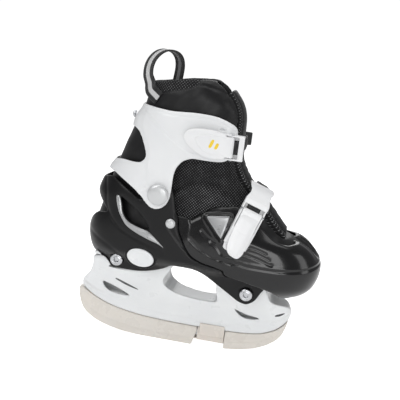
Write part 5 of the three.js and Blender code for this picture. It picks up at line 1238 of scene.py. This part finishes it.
def pull_loop():
    P = [(-34, -27, 265.5), (-38.5, -26, 268.5), (-43, -24.5, 272.5), (-48.5, -21, 279), (-52.2, -17, 287), (-52.8, -13, 296), (-50.4, -9, 304), (-45, -5, 310.5), (-38, -0.8, 313.2), (-31, 4, 311.6), (-26.8, 7.5, 306.5), (-25.2, 9.2, 299), (-25.6, 9.6, 290), (-27, 9.6, 281), (-30, 9, 273.5), (-35.5, 8, 267.5), (-41.5, 6.5, 263.5)]
    boot = tree_of("liner_boot")
    W, W0 = np.array((-0.79, 0.61, 0)), np.array((-0.52, 0.165, -0.8))
    Ws = [lerp(W0, W, t) for t in (0, 0.1, 0.4, 0.8)] + [W] * (len(P) - 4)
    for k in range(3):
        P[k] = lay(boot, P[k], (-20, P[k][1] + 22, P[k][2]), Ws[k], 1.0 + 0.9 * k * k)
    o = sweep("pull_loop_webbing", P, Ws, 15, 1.5, lambda s, t: 0.12 * np.cos(t * 30) + 0 * s, lambda s, t: 0.12 * np.cos(t * 30) + 0 * s, None, 0.6, 23, round_end=False)
    finish(o, webbing_mat(), "cuff_assembly", "webbing", "pull_loop")


# ------------------------------------------------------------------ rivets, bolts, button
def round_parts():
    def one(name, prof, cx, cz, mat, body, slot, node, h=0.34, extra=None, n=1):
        p = np.array(prof, float)
        r = p[:, 0].max() + 1.2
        g = Grid((cx - r, p[:, 1].min() - 1.2, cz - r), (cx + r, p[:, 1].max() + 1.2, cz + r), h)
        q = np.vstack([chaikin(p, 2, False)])
        d = rivet(g, q, cx, cz)
        if extra:
            d = extra(g, d)
        o = skin(g, d, name)
        finish(o, mat, body, slot, node)
        return o

    for sgn, tag in ((-1, "outer"), (1, "inner")):
        one("pivot_cap_" + tag, [(r, y * sgn) for r, y in [[0, 38.4], [6.2, 38.4], [6.2, 39.7], [3.5, 39.7], [3.5, 48.1], [10.9, 48.1], [10.7, 49.3], [8.6, 50.5], [4.8, 51.1], [0, 51.25]]], *PIVOT, CAP_SILVER, "cuff_assembly", "rivet_silver", "pivot_rivet_" + tag, 0.42)
        one("guide_cap_" + tag, [(r, y * sgn) for r, y in [[0, 35.5], [5.2, 35.5], [5.2, 36.4], [2.35, 36.4], [2.35, 46.0], [5.2, 46.0], [4.8, 47.3], [3, 48.3], [0, 48.5]]], *GUIDE, CAP_SILVER, "chassis", "rivet_silver", "guide_rivet_" + tag, 0.3)
    for tag, p, y in (("rear", BOLT_REAR, 29.6), ("front", BOLT_FRONT, 30.5)):
        def socket(g, d, p=p, y=y):
            d = smax(d, -smax(hexa(g, 2.5, *p), g.Y + y + 0.4, 0.15), 0.25)
            ring = np.exp(-((rodf(g, 4.3, *p)) / 0.5) ** 2) * (g.Y < -y - 1.5)
            return d + 0.35 * ring
        one(tag + "_bolt_turned", [[0, -y - 3.1], [5.0, -y - 3.1], [6.5, -y - 2.4], [6.9, -y - 1.3], [6.9, -y], [4.2, -y], [4.2, y + 0.6], [0, y + 0.6]], *p, ZINC, "chassis", "zinc_steel", tag + "_bolt", 0.4, socket)
        one(tag + "_nut_turned", [[0, y + 1.4], [4.6, y + 1.2], [4.6, y], [6.9, y], [6.8, y + 2.0], [5.4, y + 3.1], [0, y + 3.1]], *p, ZINC, "chassis", "zinc_steel", tag + "_bolt_nut", 0.34)
    g = Grid((-51, -46.5, 88), (-19, -33.5, 113), 0.42)
    q = oval(g, 14.4, 9.4)
    face = POD_FACE - 1.5 + 0.5 * sstep(-3.6, 0.0, q) + 0.25 * (1 - sstep(-5.2, -3.6, q))
    cap = smax(smax(q, face - g.Y, 0.8), g.Y - (POD_FACE + 0.7), 0.4)
    stem = smax(rodf(g, 2.2, BUTTON[0], 94.9), smax(POD_FACE - g.Y, g.Y + 35.2, 0.3), 0.3)
    o = skin(g, smin(cap, stem, 0.4), "size_button_cap", {"mark": lambda P: np.full(len(P), 5.0)})
    finish(o, HOLDER_WHITE, "button", "white_plastic", "size_button")


toe_shell()
rear_shell()
cuff()
holder()
guard()
liner()
tongue()
insole()
buckle("ankle", AO, AR, "cuff_assembly", "ankle_lever", "ankle_pawl")
buckle("instep", IO, IR, "toe_assembly", "instep_lever", "instep_pawl")
straps()
pull_loop()
round_parts()

# carried-over frame nodes keep their shape and take a finish
KEEP = {"steel_runner": RUNNER, "button_spring": WIRE}
for name, ob in frame["nodes"].items():
    if ob.hide_render:
        continue
    mat = KEEP.get(name, ZINC)
    if ob.data.materials:
        for i in range(len(ob.material_slots)):
            ob.material_slots[i].material = mat
    else:
        ob.data.materials.append(mat)
